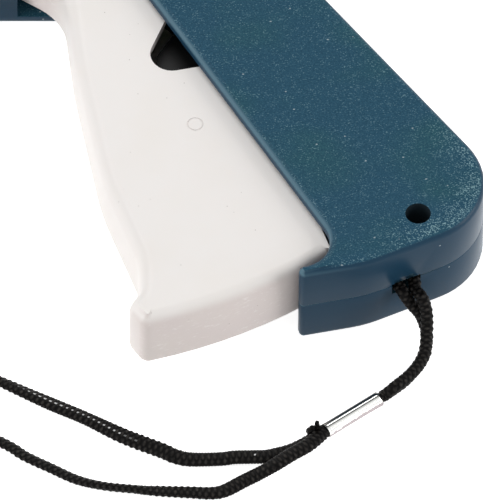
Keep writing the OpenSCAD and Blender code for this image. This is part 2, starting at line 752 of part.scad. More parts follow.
// Feed wheel, ratchet wheel and shaft turn together about X beside the clip slot.
wheel_front = slot_front + 1;
wheel_thick = 2;
ratchet_front = slot_back + 4;
function star(teeth, tip, root) = [for (k = [0:teeth - 1], step = [[-0.24, 0], [-0.09, 1], [0.09, 1], [0.24, 0]])
    let (a = 360 * (k + step[0]) / teeth, r = step[1] > 0 ? tip : root) r * [cos(a), sin(a)]];
function saw(teeth, tip, root) = [for (k = [0:teeth - 1], step = [[0, 1], [0.06, 0]])
    let (a = 360 * (k + step[0]) / teeth, r = step[1] > 0 ? tip : root) r * [cos(a), sin(a)]];

module on_feed_axis(x) {
    translate([x, feed_axis_y, feed_axis_z]) rotate([0, 90, 0]) children();
}

module feed_wheel() {
    color(off_white) on_feed_axis(wheel_front) difference() {
        linear_extrude(wheel_thick) polygon(star(feed_teeth, feed_r, feed_r - 1.7));
        translate([0, 0, -1]) cylinder(h = wheel_thick + 2, r = feed_shaft_r);
    }
}

module ratchet_wheel() {
    color(off_white) on_feed_axis(ratchet_front) difference() {
        union() {
            linear_extrude(2) polygon(saw(feed_teeth, feed_r - 0.3, feed_r - 1.4));
            translate([0, 0, 2]) cylinder(h = 2, r = feed_r - 2);
        }
        translate([0, 0, -1]) cylinder(h = 6, r = feed_shaft_r);
    }
}

feed_shaft_r = 1;
feed_shaft_back = ratchet_front + 5.2;
module feed_shaft() {
    color(steel) bar(slot_front - 1.6, feed_shaft_back, feed_axis_y, feed_axis_z, feed_shaft_r);
}

// Room for the feed wheel beside the clip slot, and the shaft's front bearing.
module feed_pocket() {
    bar(wheel_front - 0.4, wheel_front + wheel_thick + 0.4, feed_axis_y, feed_axis_z, feed_r + 0.4);
    bar(slot_front - 1.7, slot_back + 3, feed_axis_y, feed_axis_z, feed_shaft_r + run_gap);
}

// Pawl that clicks over the ratchet wheel.
pawl_pivot_y = feed_axis_y - 1.5;
pawl_pivot_z = feed_axis_z + 8.6;
pawl_front = ratchet_front + 0.2;
pawl_thick = 1.6;
module feed_pawl() {
    color(black_plastic) translate([pawl_front, pawl_pivot_y, pawl_pivot_z]) rotate([90, 0, 90]) difference() {
        linear_extrude(pawl_thick) union() {
            circle(r = 2.2);
            polygon([[-1.6, 1.4], [-1.6, -1.6], [1.4, -4.2], [2.3, -3.8], [2, 0]]);
        }
        translate([0, 0, -1]) cylinder(h = 4, r = 1 + run_gap);
    }
}

module pawl_pin() {
    color(steel) bar(slot_back + 1.6, pawl_front + pawl_thick + 2.6, pawl_pivot_y, pawl_pivot_z, 1);
}

// Points along a coil spring that lies on the X axis, eight to a curl, and the least gap between its curls.
coil_steps = 8;
function coil(radius, wire, turns, length) = [for (k = [0:turns * coil_steps])
    let (a = 360 * k / coil_steps, x = wire / 2 + (length - wire) * k / (turns * coil_steps))
    [x, radius * cos(a), radius * sin(a)]];
function least_gap(points, wire) = min([for (i = [0:len(points) - 1], j = [i + coil_steps / 2:1:len(points) - 1])
    norm(points[i] - points[j])]) - wire;

// Coil spring around the pawl pin, behind the pawl.
pawl_wire = 0.4;
pawl_coil = coil(1.55, pawl_wire, 2, 2.3);
echo(pawl_spring_least_gap = least_gap(pawl_coil, pawl_wire));
module pawl_spring() {
    color(steel) translate([pawl_front + pawl_thick + 0.1, pawl_pivot_y, pawl_pivot_z])
        sweep(pawl_coil, pawl_wire / 2, 6);
}

// Button that lets the clip out: it moves inwards against a small spring.
button_spot = hinge + [-22.5, 3.4];
button_travel = 2.5;
button_rise = button_travel - 0.3;
button_gap = 0.3;
button_stem_r = 1.3;
button_flange_r = button_r + 0.9;
button_flange_low = body_thick - wall - 2;
button_flange_high = body_thick - wall - 0.4;
button_seat = mid + 0.8;
module release_button() {
    face = body_thick + button_rise;
    stem_end = button_seat + button_travel - 0.2;
    color(black_plastic) translate([button_spot.x, button_spot.y, 0]) rotate_extrude() polygon([
        [0, stem_end], [button_stem_r, stem_end], [button_stem_r, button_flange_low],
        [button_flange_r, button_flange_low], [button_flange_r, button_flange_high],
        [button_r, button_flange_high], [button_r, face - 0.7], [button_r - 0.7, face],
        [button_r - 1.8, face - 0.3], [0, face - 0.6]]);
}

module button_pocket() {
    disc(button_spot, button_flange_r + button_gap, mid, button_flange_high + 0.3);
}

button_wire = 0.5;
button_turns = 4;
button_coil = coil(2.1, button_wire, button_turns, button_flange_low - button_seat);
echo(button_spring_least_gap = least_gap(button_coil, button_wire));
module button_spring() {
    color(steel) translate([button_spot.x, button_spot.y, button_seat]) rotate([0, -90, 0])
        sweep(button_coil, button_wire / 2, 6);
}

return_coil = coil(spring_r, spring_wire, spring_turns, spring_length);
echo(return_spring_least_gap = least_gap(return_coil, spring_wire));
module return_spring() {
    color(steel) along_spring() rotate([0, -90, 0]) sweep(return_coil, spring_wire / 2, 6);
}

// A tube swept along points, with a flat cut at each end. Its radius is one number, or one for each point.
function along(points, i) = unit(points[min(i + 1, len(points) - 1)] - points[max(i - 1, 0)]);
function frame_side(way) = unit(cross(abs(way.z) < 0.9 ? [0, 0, 1] : [1, 0, 0], way));
module sweep(points, radius, sides) {
    last = len(points) - 1;
    rings = [for (i = [0:last]) let (way = along(points, i), across = frame_side(way), up = cross(way, across),
            r = is_list(radius) ? radius[i] : radius)
        for (k = [0:sides - 1]) points[i] + r * (cos(360 * k / sides) * across + sin(360 * k / sides) * up)];
    walls = [for (i = [0:last - 1], k = [0:sides - 1]) let (n = (k + 1) % sides)
        each [[i * sides + k, i * sides + n, (i + 1) * sides + n],
            [i * sides + k, (i + 1) * sides + n, (i + 1) * sides + k]]];
    first_cap = [[for (k = [sides - 1:-1:0]) k]];
    last_cap = [[for (k = [0:sides - 1]) last * sides + k]];
    polyhedron(rings, concat(first_cap, walls, last_cap), convexity = 6);
}

// Lanyard: it is looped round the handle screw's boss, leaves through the slot in the end wall and goes down to the
// surface, where the crimp joins its small loop and its wrist loop.
cord_level = mid - 1.2;
cord_floor = cord_d / 2 + 0.05;
// The cord is flattened where it is pulled round the boss, and squeezed where the crimp holds it.
bend_r = 1;
squeezed_r = 0.62;
function cord_radii(points, tight_r, first, last, loose_r = cord_d / 2) =
    [for (i = [0:len(points) - 1]) i < first || i >= len(points) - last ? tight_r : loose_r];
anchor_r = low_boss_r + bend_r + 0.15;
crimp_right = [-7.73, -30.78, crimp_r + 0.05];
crimp_left = [-18.16, -38.6, crimp_r + 0.05];
crimp_way = unit(crimp_right - crimp_left);
// The crimp holds the two strands one above the other, and each goes in straight.
nip = [0.2, -0.27, 0.57];
straight_end = 1.2 * crimp_way;
anchor_route = concat([[-3.2, -9.8, cord_level], [-4.3, -7.4, cord_level], [-4.3, -4, cord_level]],
    [for (a = [175:-30:-35]) [anchor_r * cos(a), anchor_r * sin(a), cord_level]],
    [[1.3, -4.6, cord_level], [-0.6, -6.6, cord_level], [-0.5, -8.6, cord_level]]);
lower_leg_route = [[-3.2, -9.8, cord_level], [-2.7, -10.9, cord_level], [-1.2, -12.3, 7.8], [0.4, -13.6, 6.5],
    [1.3, -15, 5.2], [1.8, -16.8, 4.1], [1.6, -18.9, 3.1], [1, -21, 2.3], [-0.4, -23.4, 1.7],
    [-2.6, -26.1, 1.3], [-4.9, -28.2, cord_floor], crimp_right - nip + straight_end, crimp_right - nip];
upper_leg_route = [[-0.5, -8.6, cord_level], [-0.43, -9.9, cord_level], [0.8, -12.3, 10], [1.6, -14.5, 8.9],
    [1.8, -16.8, 7.3], [1.7, -18.4, 6.2], [1.6, -20.2, 5.3], [1.3, -22.1, 4.6], [-0.1, -24.8, 4.1],
    [-2.3, -27.3, 3.8], [-4.7, -29.4, 3.5], crimp_right + nip + straight_end, crimp_right + nip];
wrist_route = concat([crimp_left - nip, crimp_left - nip - straight_end],
    [for (spot = [[-21.7, -41.2], [-23.9, -42.6], [-25.6, -43.4], [-27.5, -44], [-29.9, -44.6], [-32.8, -44.7],
            [-36.2, -44.8], [-38.8, -45.2], [-44.7, -45.3], [-47.7, -44.5], [-50.3, -43.1], [-57.7, -39.6],
            [-65.2, -35.2], [-72.7, -31.3], [-81.9, -26.2], [-98, -17.2], [-114, -8.6], [-127, -2], [-138, 2],
            [-144, 1.9], [-148.6, -0.5], [-150.8, -4.6], [-149.6, -9], [-145.4, -12.4], [-135, -15.8],
            [-118, -22], [-100, -31], [-81.9, -40.9], [-76.9, -44.5], [-71.9, -47.4], [-66.9, -50.2],
            [-61.9, -51.8], [-56.9, -52.5], [-50.5, -53], [-44.7, -53.3], [-40.7, -53.5], [-38, -52.9]])
        [spot.x, spot.y, cord_floor]],
    [[-34.5, -50.8, 1.4], [-31.7, -49.4, 1.8], [-30, -48.8, 2.5], [-28, -47.9, 3.2], [-25, -45.8, 3.5],
        [-21.7, -43.4, 3.4], crimp_left + nip - straight_end, crimp_left + nip]);

module lanyard_anchor_bend() {
    color(black_cord) sweep(anchor_route, cord_radii(anchor_route, cord_d / 2, 3, 3, bend_r), 8);
}

module lanyard_leg_lower() {
    color(black_cord) sweep(lower_leg_route, cord_radii(lower_leg_route, squeezed_r, 0, 2), 8);
}

module lanyard_leg_upper() {
    color(black_cord) sweep(upper_leg_route, cord_radii(upper_leg_route, squeezed_r, 0, 2), 8);
}

module lanyard_wrist_loop() {
    color(black_cord) sweep(wrist_route, cord_radii(wrist_route, squeezed_r, 2, 2), 8);
}

// Crimped tube that joins the small loop and the wrist loop.
module lanyard_crimp() {
    way = crimp_right - crimp_left;
    color(steel) translate(crimp_left) rotate([0, 0, atan2(way.y, way.x)]) rotate([0, 90, 0])
        cylinder(h = norm(way), r = crimp_r, $fn = 24);
}

// The cord's two sealed ends stand out of the crimp's left end, behind the strands. Each point is given as its
// distance out of the crimp, to the back and up.
cord_end_routes = [
    [[0, 0.72, 0.85], [0.7, 0.72, 0.85], [1.3, 0.75, 1.2], [1.6, 0.75, 1.9], [1.7, 0.7, 3.5]],
    [[0, 1.15, 0.1], [0.8, 1.15, 0.1], [2, 1.45, 0.5], [3.3, 1.5, 0.8]]];
cord_end_radii = [[0.45, 0.45, 0.5, 0.55, 0.45], [0.4, 0.4, 0.7, 0.6]];
module lanyard_cord_ends() {
    back = cross([0, 0, 1], crimp_way);
    color(black_cord) for (k = [0, 1])
        sweep([for (step = cord_end_routes[k]) crimp_left - step.x * crimp_way + step.y * back + [0, 0, step.z]],
            cord_end_radii[k], 6);
}

// The row's origin is under the middle of the object without its lanyard.
plan_points = concat(outline(housing_corners), outline(trigger_corners));
high_x = max([for (point = plan_points) point.x]);
low_y = min([for (point = plan_points) point.y]);
high_y = max([for (point = plan_points) point.y]);
origin = [(needle_tip + high_x) / 2, (low_y + high_y) / 2, 0];

module placed() {
    translate(-origin) children();
}

placed() left_housing();
placed() right_housing();
placed() housing_screws();
placed() trigger();
placed() trigger_pivot_pin();
placed() drive_pin();
placed() drive_lever();
placed() lever_pivot_pin();
placed() return_spring();
placed() carriage();
placed() cross_pin();
placed() pusher_rod();
placed() rod_guide();
placed() needle();
placed() needle_base();
placed() needle_lock_lever();
placed() lock_lever_washer();
placed() clip_guide();
placed() knife_blade();
placed() feed_wheel();
placed() ratchet_wheel();
placed() feed_shaft();
placed() feed_pawl();
placed() pawl_pin();
placed() pawl_spring();
placed() release_button();
placed() button_spring();
placed() lanyard_anchor_bend();
placed() lanyard_leg_lower();
placed() lanyard_leg_upper();
placed() lanyard_crimp();
placed() lanyard_wrist_loop();
placed() lanyard_cord_ends();
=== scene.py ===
"""Visual model of a hand-held garment tag attacher that lies on a pale floor with its wrist lanyard."""

import json
import math

import bmesh
import bpy
import numpy as np
from mathutils import Matrix, Vector


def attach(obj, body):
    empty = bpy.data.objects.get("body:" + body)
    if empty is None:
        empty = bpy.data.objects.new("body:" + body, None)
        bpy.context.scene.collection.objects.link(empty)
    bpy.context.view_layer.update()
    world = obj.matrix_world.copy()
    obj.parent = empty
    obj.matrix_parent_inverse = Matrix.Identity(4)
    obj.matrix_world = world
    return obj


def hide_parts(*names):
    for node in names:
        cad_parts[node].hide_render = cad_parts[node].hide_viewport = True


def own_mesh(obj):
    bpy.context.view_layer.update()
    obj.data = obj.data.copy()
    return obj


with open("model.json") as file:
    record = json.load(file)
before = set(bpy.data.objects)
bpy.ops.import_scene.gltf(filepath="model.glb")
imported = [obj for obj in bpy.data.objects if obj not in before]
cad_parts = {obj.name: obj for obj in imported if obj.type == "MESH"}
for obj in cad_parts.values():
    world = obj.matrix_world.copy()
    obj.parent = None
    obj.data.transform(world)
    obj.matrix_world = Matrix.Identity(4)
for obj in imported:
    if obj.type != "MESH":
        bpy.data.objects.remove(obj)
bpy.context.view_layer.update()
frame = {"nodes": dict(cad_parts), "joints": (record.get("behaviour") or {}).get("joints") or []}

bl_info = {
    "name": "Garment Tag Attacher",
    "version": (1, 0, 0),
    "blender": (4, 5, 0),
    "location": "3D View > Sidebar > Tag Attacher",
    "description": "Finishes the pieces of a garment tag attacher and lays out its lanyard and stage",
    "category": "Object",
}

# ---------------------------------------------------------------------------------------------------------------
# Places. The plan of the tool is drawn in millimetres from the handle screw, with the surface at height 0.

HANDLE_LENGTH = 107.5
HANDLE_ANGLE = math.radians(134.2)
HINGE = Vector(next(j for j in frame["joints"] if j["name"] == "trigger_hinge")["pos_m"])
SCREW = Vector((HINGE.x - HANDLE_LENGTH * math.cos(HANDLE_ANGLE) / 1000,
                HINGE.y - HANDLE_LENGTH * math.sin(HANDLE_ANGLE) / 1000, 0))
MID = 10.5
CORD_LEVEL = MID - 1.2
# The heel of the handle is an arc between the end wall and the back wall. Each wall has its way and outward normal.
# These places also set the band where the housing's glints are painted denser and brighter, as painted highlights.
HEEL_CENTRE = (-1.79, 8.27)
HEEL_RADIUS = 0.015
END_WAY, END_NORMAL = (0.9041, 0.4275, 0), (0.4275, -0.9041, 0)
BACK_WAY, BACK_NORMAL = (0.6028, -0.7979, 0), (0.7979, 0.6028, 0)
# Springs, which on the tool shorten as a joint moves: node, joint, axis, fixed end, and the share of the spring's
# length that stays.
SPRINGS = [("return_spring", "trigger_hinge", (0.788, 0.6157, 0), (-9.831, 36.627, MID), 0.35),
           ("button_spring", "button_slide", (0, 0, 1), (-97.445, 80.468, 11.3), 0.528)]
SCREW_SPOTS = [(0, 0), (-10.4452, 82.0679), (-106.9452, 70.5679), (-100.9452, 95.5679)]
# Painted shade: the bores' inner walls within this radius and half depth are painted near black.
BORE_RADIUS = 0.00255
BORE_HALF_DEPTH = 0.0101
# A face whose normal's upright part is above this is level.
LEVEL = 0.9999


def place(x, y, z):
    """A point of the plan, in the frame's metres."""
    return SCREW + Vector((x, y, z)) / 1000


# The lanyard's centrelines. The small loop goes up the lower leg, round the anchor boss and down the upper leg.
CRIMP_RIGHT = Vector((-7.73, -30.78, 1.55))
CRIMP_LEFT = Vector((-18.16, -38.6, 1.55))
CRIMP_WAY = (CRIMP_RIGHT - CRIMP_LEFT).normalized()
NIP = Vector((0.2, -0.27, 0.57))
STRAIGHT_END = 1.2 * CRIMP_WAY
ANCHOR_RADIUS = 3.55
LOWER_LEG = [CRIMP_RIGHT - NIP, CRIMP_RIGHT - NIP + STRAIGHT_END, (-4.9, -28.2, 1.25), (-2.6, -26.1, 1.3),
             (-0.4, -23.4, 1.7), (1, -21, 2.3), (1.6, -18.9, 3.1), (1.8, -16.8, 4.1), (1.3, -15, 5.2),
             (0.4, -13.6, 6.5), (-1.2, -12.3, 7.8), (-2.7, -10.9, CORD_LEVEL), (-3.2, -9.8, CORD_LEVEL)]
ANCHOR = ([(-4.3, -7.4, CORD_LEVEL), (-4.3, -4, CORD_LEVEL)]
          + [(ANCHOR_RADIUS * math.cos(math.radians(a)), ANCHOR_RADIUS * math.sin(math.radians(a)), CORD_LEVEL)
             for a in range(175, -36, -30)]
          + [(1.3, -4.6, CORD_LEVEL), (-0.6, -6.6, CORD_LEVEL)])
UPPER_LEG = [(-0.5, -8.6, CORD_LEVEL), (-0.43, -9.9, CORD_LEVEL), (0.8, -12.3, 10), (1.6, -14.5, 8.9),
             (1.8, -16.8, 7.3), (1.7, -18.4, 6.2), (1.6, -20.2, 5.3), (1.3, -22.1, 4.6), (-0.1, -24.8, 4.1),
             (-2.3, -27.3, 3.8), (-4.7, -29.4, 3.5), CRIMP_RIGHT + NIP + STRAIGHT_END, CRIMP_RIGHT + NIP]
FLOOR_LEVEL = 1.25
WRIST_ON_FLOOR = [(-21.7, -41.2), (-23.9, -42.6), (-25.6, -43.4), (-27.5, -44), (-29.9, -44.6), (-32.8, -44.7),
                  (-36.2, -44.8), (-38.8, -45.2), (-44.7, -45.3), (-47.7, -44.5), (-50.3, -43.1), (-57.7, -39.6),
                  (-65.2, -35.2), (-72.7, -31.3), (-81.9, -26.2), (-98, -17.2), (-114, -8.6), (-127, -2), (-138, 2),
                  (-144, 1.9), (-148.6, -0.5), (-150.8, -4.6), (-149.6, -9), (-145.4, -12.4), (-135, -15.8),
                  (-118, -22), (-100, -31), (-81.9, -40.9), (-76.9, -44.5), (-71.9, -47.4), (-66.9, -50.2),
                  (-61.9, -51.8), (-56.9, -52.5), (-50.5, -53), (-44.7, -53.3), (-40.7, -53.5), (-38, -52.9)]
WRIST = ([CRIMP_LEFT - NIP, CRIMP_LEFT - NIP - STRAIGHT_END] + [(x, y, FLOOR_LEVEL) for x, y in WRIST_ON_FLOOR]
         + [(-34.5, -50.8, 1.4), (-31.7, -49.4, 1.8), (-30, -48.8, 2.5), (-28, -47.9, 3.2), (-25, -45.8, 3.5),
            (-21.7, -43.4, 3.4), CRIMP_LEFT + NIP - STRAIGHT_END, CRIMP_LEFT + NIP])
# How far the wrist loop's flattened side leans over, in degrees, at places along it in millimetres.
WRIST_LEAN = [(0, 0), (26, 1), (31, 11), (39, 28), (50, -7), (59, -7), (70, -31), (110, 0), (190, 0), (230, 31),
              (241, 35), (247, 37), (253, 52), (258, 50), (263, 26), (270, 15), (277, 5), (286, 5), (301, 0)]
# Painted light: white is painted where light would show through the wrist loop's gaps on its top, within a share of a
# turn and a reach along the cord in metres.
GLEAM_TURN = 0.02
GLEAM_REACH = 0.0002
# Where it shows: from and to along the cord in millimetres, and how brightly.
GLEAMS = [(43, 64, 0.9), (39, 43, 0.25), (64, 67, 0.3), (15.4, 16.6, 1.0)]
# The cut ends of the cord, out of the crimp, to the back and up, each with its radii.
CORD_ENDS = [([(0, 0.72, 0.85), (0.7, 0.72, 0.85), (1.3, 0.75, 1.2), (1.6, 0.75, 1.9), (1.7, 0.7, 3.5)],
              [0.45, 0.45, 0.5, 0.55, 0.45]),
             ([(0, 1.15, 0.1), (0.8, 1.15, 0.1), (2, 1.45, 0.5), (3.3, 1.5, 0.8)], [0.5, 0.6, 0.95, 0.7])]

# The crimp's mesh has columns round it and rows along it. Column 0 is its seam, which leans back by some degrees.
CRIMP_RADIUS = 0.0015
CRIMP_COLUMNS = 120
CRIMP_ROWS = 24
SEAM_LEAN = 30
# The seam's lines of painted shade: first column, last column, darkness. The pressed side is lower by a share of the
# radius.
PAINTED_SEAM_SHADE = [(-14, 1, 0.88), (2, 4, 0.35), (5, 8, 0.95), (9, 11, 0.2), (12, 14, 0.85), (15, 17, 0.3)]
PRESSED_SHARE = 0.09


# ---------------------------------------------------------------------------------------------------------------
# Sizes and colours that a user would change.

def shade(name, description, colour):
    return bpy.props.StringProperty(name=name, description=description, default=colour)


def length(name, description, millimetres):
    return bpy.props.FloatProperty(name=name, description=description, default=millimetres / 1000,
                                   subtype="DISTANCE", unit="LENGTH", precision=5)


class HousingSettings(bpy.types.PropertyGroup):
    face: shade("Face", "Colour of the grained side faces", "#2a5166")
    cloud: shade("Cloud", "Greener colour of large patches of the side faces", "#2c5660")
    pit: shade("Pit", "Colour of the pits of the grain", "#1a3f52")
    # Painted shade: the upright walls take a darker teal than the faces.
    wall: shade("Wall", "Colour of the smooth outer walls", "#1e3c51")
    # Painted highlight: the colour of the glints painted on the grain tops.
    painted_glint: shade("Fleck", "Colour of a lit grain top", "#8aadb4")
    # Painted highlight: the lighter band painted on the rounded edge that faces the trigger.
    edge: shade("Edge", "Colour of the rounded edge that faces the trigger", "#5b7c8b")
    grain: length("Grain", "Width of one grain of the moulded texture", 0.27)


class TriggerSettings(bpy.types.PropertyGroup):
    face: shade("Face", "Colour of the trigger's sides", "#ebe7e4")
    # Painted shade: the darker pinkish grey of the walls that face -Y.
    wall: shade("Wall", "Colour of the trigger's foot", "#ddd3d0")
    speck: shade("Speck", "Colour of the dirt specks", "#7a6d66")
    speck_spacing: length("Speck spacing", "Spacing of the dirt specks", 2.6)


class LanyardSettings(bpy.types.PropertyGroup):
    diameter: length("Cord", "Mean diameter of the plaited cord", 2.4)
    flatness: bpy.props.FloatProperty(name="Flatness", description="How much wider than high the wrist loop lies",
                                      default=1.35, subtype="FACTOR", min=1, max=1.5)
    stitch: length("Stitch", "Length of one stitch of the plait", 1.2)
    strands: bpy.props.IntProperty(name="Strands", description="Strands of the plait in each direction", default=4)
    # Painted shade and painted highlight: the gaps colour darkens the plait's hollows and the stitches colour lightens
    # the stitch tops.
    gaps: shade("Gaps", "Colour of the nylon in the gaps of the plait", "#070606")
    stitches: shade("Stitches", "Colour of the nylon on top of the stitches", "#3b3835")


class StageSettings(bpy.types.PropertyGroup):
    distance: length("Distance", "Distance of the camera from what it looks at", 3470)
    aside: length("Aside", "How far left of what it looks at the camera stands", 40.5)
    elevation: bpy.props.FloatProperty(name="Elevation", description="Height angle of the camera",
                                       default=math.radians(52.6), subtype="ANGLE")
    across: length("Across", "Width that the image shows", 483 / 5.1)
    key_power: bpy.props.FloatProperty(name="Key light", description="Power of the large soft lamp", default=5.1,
                                       subtype="POWER", unit="POWER")


# ---------------------------------------------------------------------------------------------------------------
# Helpers for meshes.

def finished(mesh_builder, name, body):
    """Turns a bmesh into an object that rides on a body."""
    mesh = bpy.data.meshes.new(name)
    mesh_builder.to_mesh(mesh)
    mesh_builder.free()
    piece = bpy.data.objects.new(name, mesh)
    bpy.context.scene.collection.objects.link(piece)
    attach(piece, body)
    return piece


def smoothed(piece, angle):
    """Shades a piece smooth apart from edges sharper than the angle."""
    piece.data.shade_smooth()
    piece.data.set_sharp_from_angle(angle=math.radians(angle))


def flattened(piece, angle):
    """Gives the corners along level faces an upright normal, so that a rounded edge doesn't shade its face."""
    mesh = piece.data
    normals = np.zeros(3 * len(mesh.loops), dtype=np.float32)
    mesh.corner_normals.foreach_get("vector", normals)
    normals = normals.reshape(-1, 3)
    level = {}
    for face in mesh.polygons:
        if abs(face.normal.z) > LEVEL:
            level.update((vertex, 1 if face.normal.z > 0 else -1) for vertex in face.vertices)
    limit = math.cos(math.radians(angle))
    for face in mesh.polygons:
        for k in face.loop_indices:
            way = level.get(mesh.loops[k].vertex_index)
            if way and face.normal.z * way > limit:
                normals[k] = (0, 0, way)
    mesh.normals_split_custom_set(normals.tolist())


def fine_copy(node_name, name, body):
    """A merged copy of a CAD node that stands for it, so that its curved walls can be shaded smooth."""
    builder = bmesh.new()
    builder.from_mesh(frame["nodes"][node_name].data)
    bmesh.ops.remove_doubles(builder, verts=builder.verts, dist=2e-6)
    piece = finished(builder, name, body)
    piece.data.materials.clear()
    smoothed(piece, 32)
    flattened(piece, 32)
    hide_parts(node_name)
    return piece


def curved(points, values, step):
    """A smooth line through given points, cut into equal steps, with a value that goes along with it."""
    p = np.array([(*place(*q), v) for q, v in zip(points, values)])
    p = np.vstack([2 * p[0] - p[1], p, 2 * p[-1] - p[-2]])
    line = []
    for a, b, c, d in zip(p, p[1:], p[2:], p[3:]):
        for t in np.linspace(0, 1, 24, endpoint=False):
            line.append(0.5 * (2 * b + (c - a) * t + (2 * a - 5 * b + 4 * c - d) * t ** 2
                               + (3 * b - a - 3 * c + d) * t ** 3))
    line.append(p[-2])
    line = np.array(line)
    along = np.concatenate([[0], np.cumsum(np.linalg.norm(np.diff(line[:, :3], axis=0), axis=1))])
    stops = np.linspace(0, along[-1], max(2, round(along[-1] / step)) + 1)
    line = np.stack([np.interp(stops, along, line[:, k]) for k in range(4)], axis=1)
    return line[:, :3], line[:, 3], stops


def woven(across, along):
    """Height of a plain weave of two sets of strands, from 0 in its gaps to 1 on top of a stitch."""
    first, second = 2 * (across % 1) - 1, 2 * (along % 1) - 1
    if (math.floor(across) + math.floor(along)) % 2:
        first, second = second, first
    return math.sqrt(max(0, 1 - 0.96 * first * first)) * (1 - 0.4 * second * second)


def plaited_cord(name, points, radii, settings, flatness=1.0, leans=((0, 0),), gleams=(), step=0.00017, around=36):
    """A plaited cord along given points, with a radius at each. Its stitches stand out.

    A flattened cord leans over by the angles in leans, and rests on the floor. Light that shows through its gaps is
    painted white in gleams.
    """
    line, radius, along = curved(points, [r / 1000 for r in radii], step)
    way = np.gradient(line, axis=0)
    way /= np.linalg.norm(way, axis=1)[:, None]
    side = np.cross(way, [0, 0, 1.0])
    side /= np.linalg.norm(side, axis=1)[:, None]
    up = np.cross(side, way)
    stops, angles = zip(*leans)
    lean = np.radians(np.interp(along * 1000, stops, angles))
    wide, high = radius * flatness, radius / flatness
    half_height = np.sqrt((wide * np.sin(lean)) ** 2 + (high * np.cos(lean)) ** 2)
    line[:, 2] = np.maximum(line[:, 2], half_height + 0.00003)
    last = len(line) - 1
    builder = bmesh.new()
    stitch = builder.verts.layers.float.new("stitch")
    gleam = builder.verts.layers.float.new("gleam")
    bmesh.ops.create_grid(builder, x_segments=last, y_segments=around, size=0.5)
    for vert in builder.verts:
        i = round((vert.co.x + 0.5) * last)
        turn = round((vert.co.y + 0.5) * around) / around % 1
        pitch = along[i] / settings.stitch
        height = woven(pitch + settings.strands * turn, pitch - settings.strands * turn)
        swell = 0.70 + 0.33 * height
        a, b = wide[i] * swell * math.cos(2 * math.pi * turn), high[i] * swell * math.sin(2 * math.pi * turn)
        cos, sin = math.cos(lean[i]), math.sin(lean[i])
        vert.co = Vector(line[i] + (a * cos - b * sin) * side[i] + (a * sin + b * cos) * up[i])
        vert[stitch] = height
        beside = abs(pitch - round(pitch)) * settings.stitch
        on_top = abs(turn - 0.25) < GLEAM_TURN
        if on_top and beside < GLEAM_REACH:
            vert[gleam] = max([light for low, high_end, light in gleams if low < along[i] * 1000 < high_end],
                              default=0)
    bmesh.ops.remove_doubles(builder, verts=builder.verts, dist=1e-7)
    bmesh.ops.holes_fill(builder, edges=[e for e in builder.edges if e.is_boundary], sides=0)
    bmesh.ops.recalc_face_normals(builder, faces=builder.faces)
    piece = finished(builder, name, "housing")
    piece.data.shade_smooth()
    return piece, line, along[-1]


# ---------------------------------------------------------------------------------------------------------------
# Helpers for materials.

def linear(colour, alpha=1.0):
    """A colour written as sRGB hex, in the linear values that shaders take."""
    parts = [int(colour[k:k + 2], 16) / 255 for k in (1, 3, 5)]
    return tuple(c / 12.92 if c <= 0.04045 else ((c + 0.055) / 1.055) ** 2.4 for c in parts) + (alpha,)


def add(tree, kind, inputs=None, **settings):
    """Adds a node with its settings. An input is a value or the socket that it is linked to."""
    made = tree.nodes.new(kind)
    for name, value in settings.items():
        setattr(made, name, value)
    for key, value in (inputs or {}).items():
        if isinstance(value, bpy.types.NodeSocket):
            tree.links.new(value, made.inputs[key])
        else:
            made.inputs[key].default_value = value
    return made


def new_material(name):
    """An empty material, its node tree, its surface shader and its output."""
    material = bpy.data.materials.new(name)
    material.use_nodes = True
    tree = material.node_tree
    tree.nodes.clear()
    shader = tree.nodes.new("ShaderNodeBsdfPrincipled")
    output = tree.nodes.new("ShaderNodeOutputMaterial")
    tree.links.new(shader.outputs["BSDF"], output.inputs["Surface"])
    return material, tree, shader


WHITE = (1, 1, 1, 1)
# Name, place and size of each square lamp in metres, and its share of the key light's power.
LAMPS = [("key", (-0.25, 0.75, 0.95), 0.55, 1.0), ("fill", (1.1, -0.1, 0.45), 0.7, 1.55),
         ("left", (-1.0, -0.3, 0.4), 0.6, 1.15), ("front", (-0.1, -1.1, 0.45), 0.6, 0.3)]


def slope_of(tree):
    """The surface's normal, and how level it is: 1 on a level face and 0 on an upright wall."""
    normal = add(tree, "ShaderNodeNewGeometry").outputs["Normal"]
    upright = add(tree, "ShaderNodeSeparateXYZ", {"Vector": normal}).outputs["Z"]
    return normal, add(tree, "ShaderNodeMath", {0: upright}, operation="ABSOLUTE").outputs[0]


def seen_directly(tree):
    """1 for what the camera, mirrors and glass see, and 0 for what only lights the object."""
    path = add(tree, "ShaderNodeLightPath").outputs
    seen = add(tree, "ShaderNodeMath", {0: path["Is Camera Ray"], 1: path["Is Glossy Ray"]},
               operation="MAXIMUM").outputs[0]
    return add(tree, "ShaderNodeMath", {0: seen, 1: path["Is Transmission Ray"]}, operation="MAXIMUM").outputs[0]


def dress(names, material):
    """Gives CAD nodes a better material in the slots that they have."""
    for name in names:
        data = frame["nodes"][name].data
        if not data.materials:
            data.materials.append(material)
        for k in range(len(data.materials)):
            data.materials[k] = material


# ---------------------------------------------------------------------------------------------------------------
# Materials.

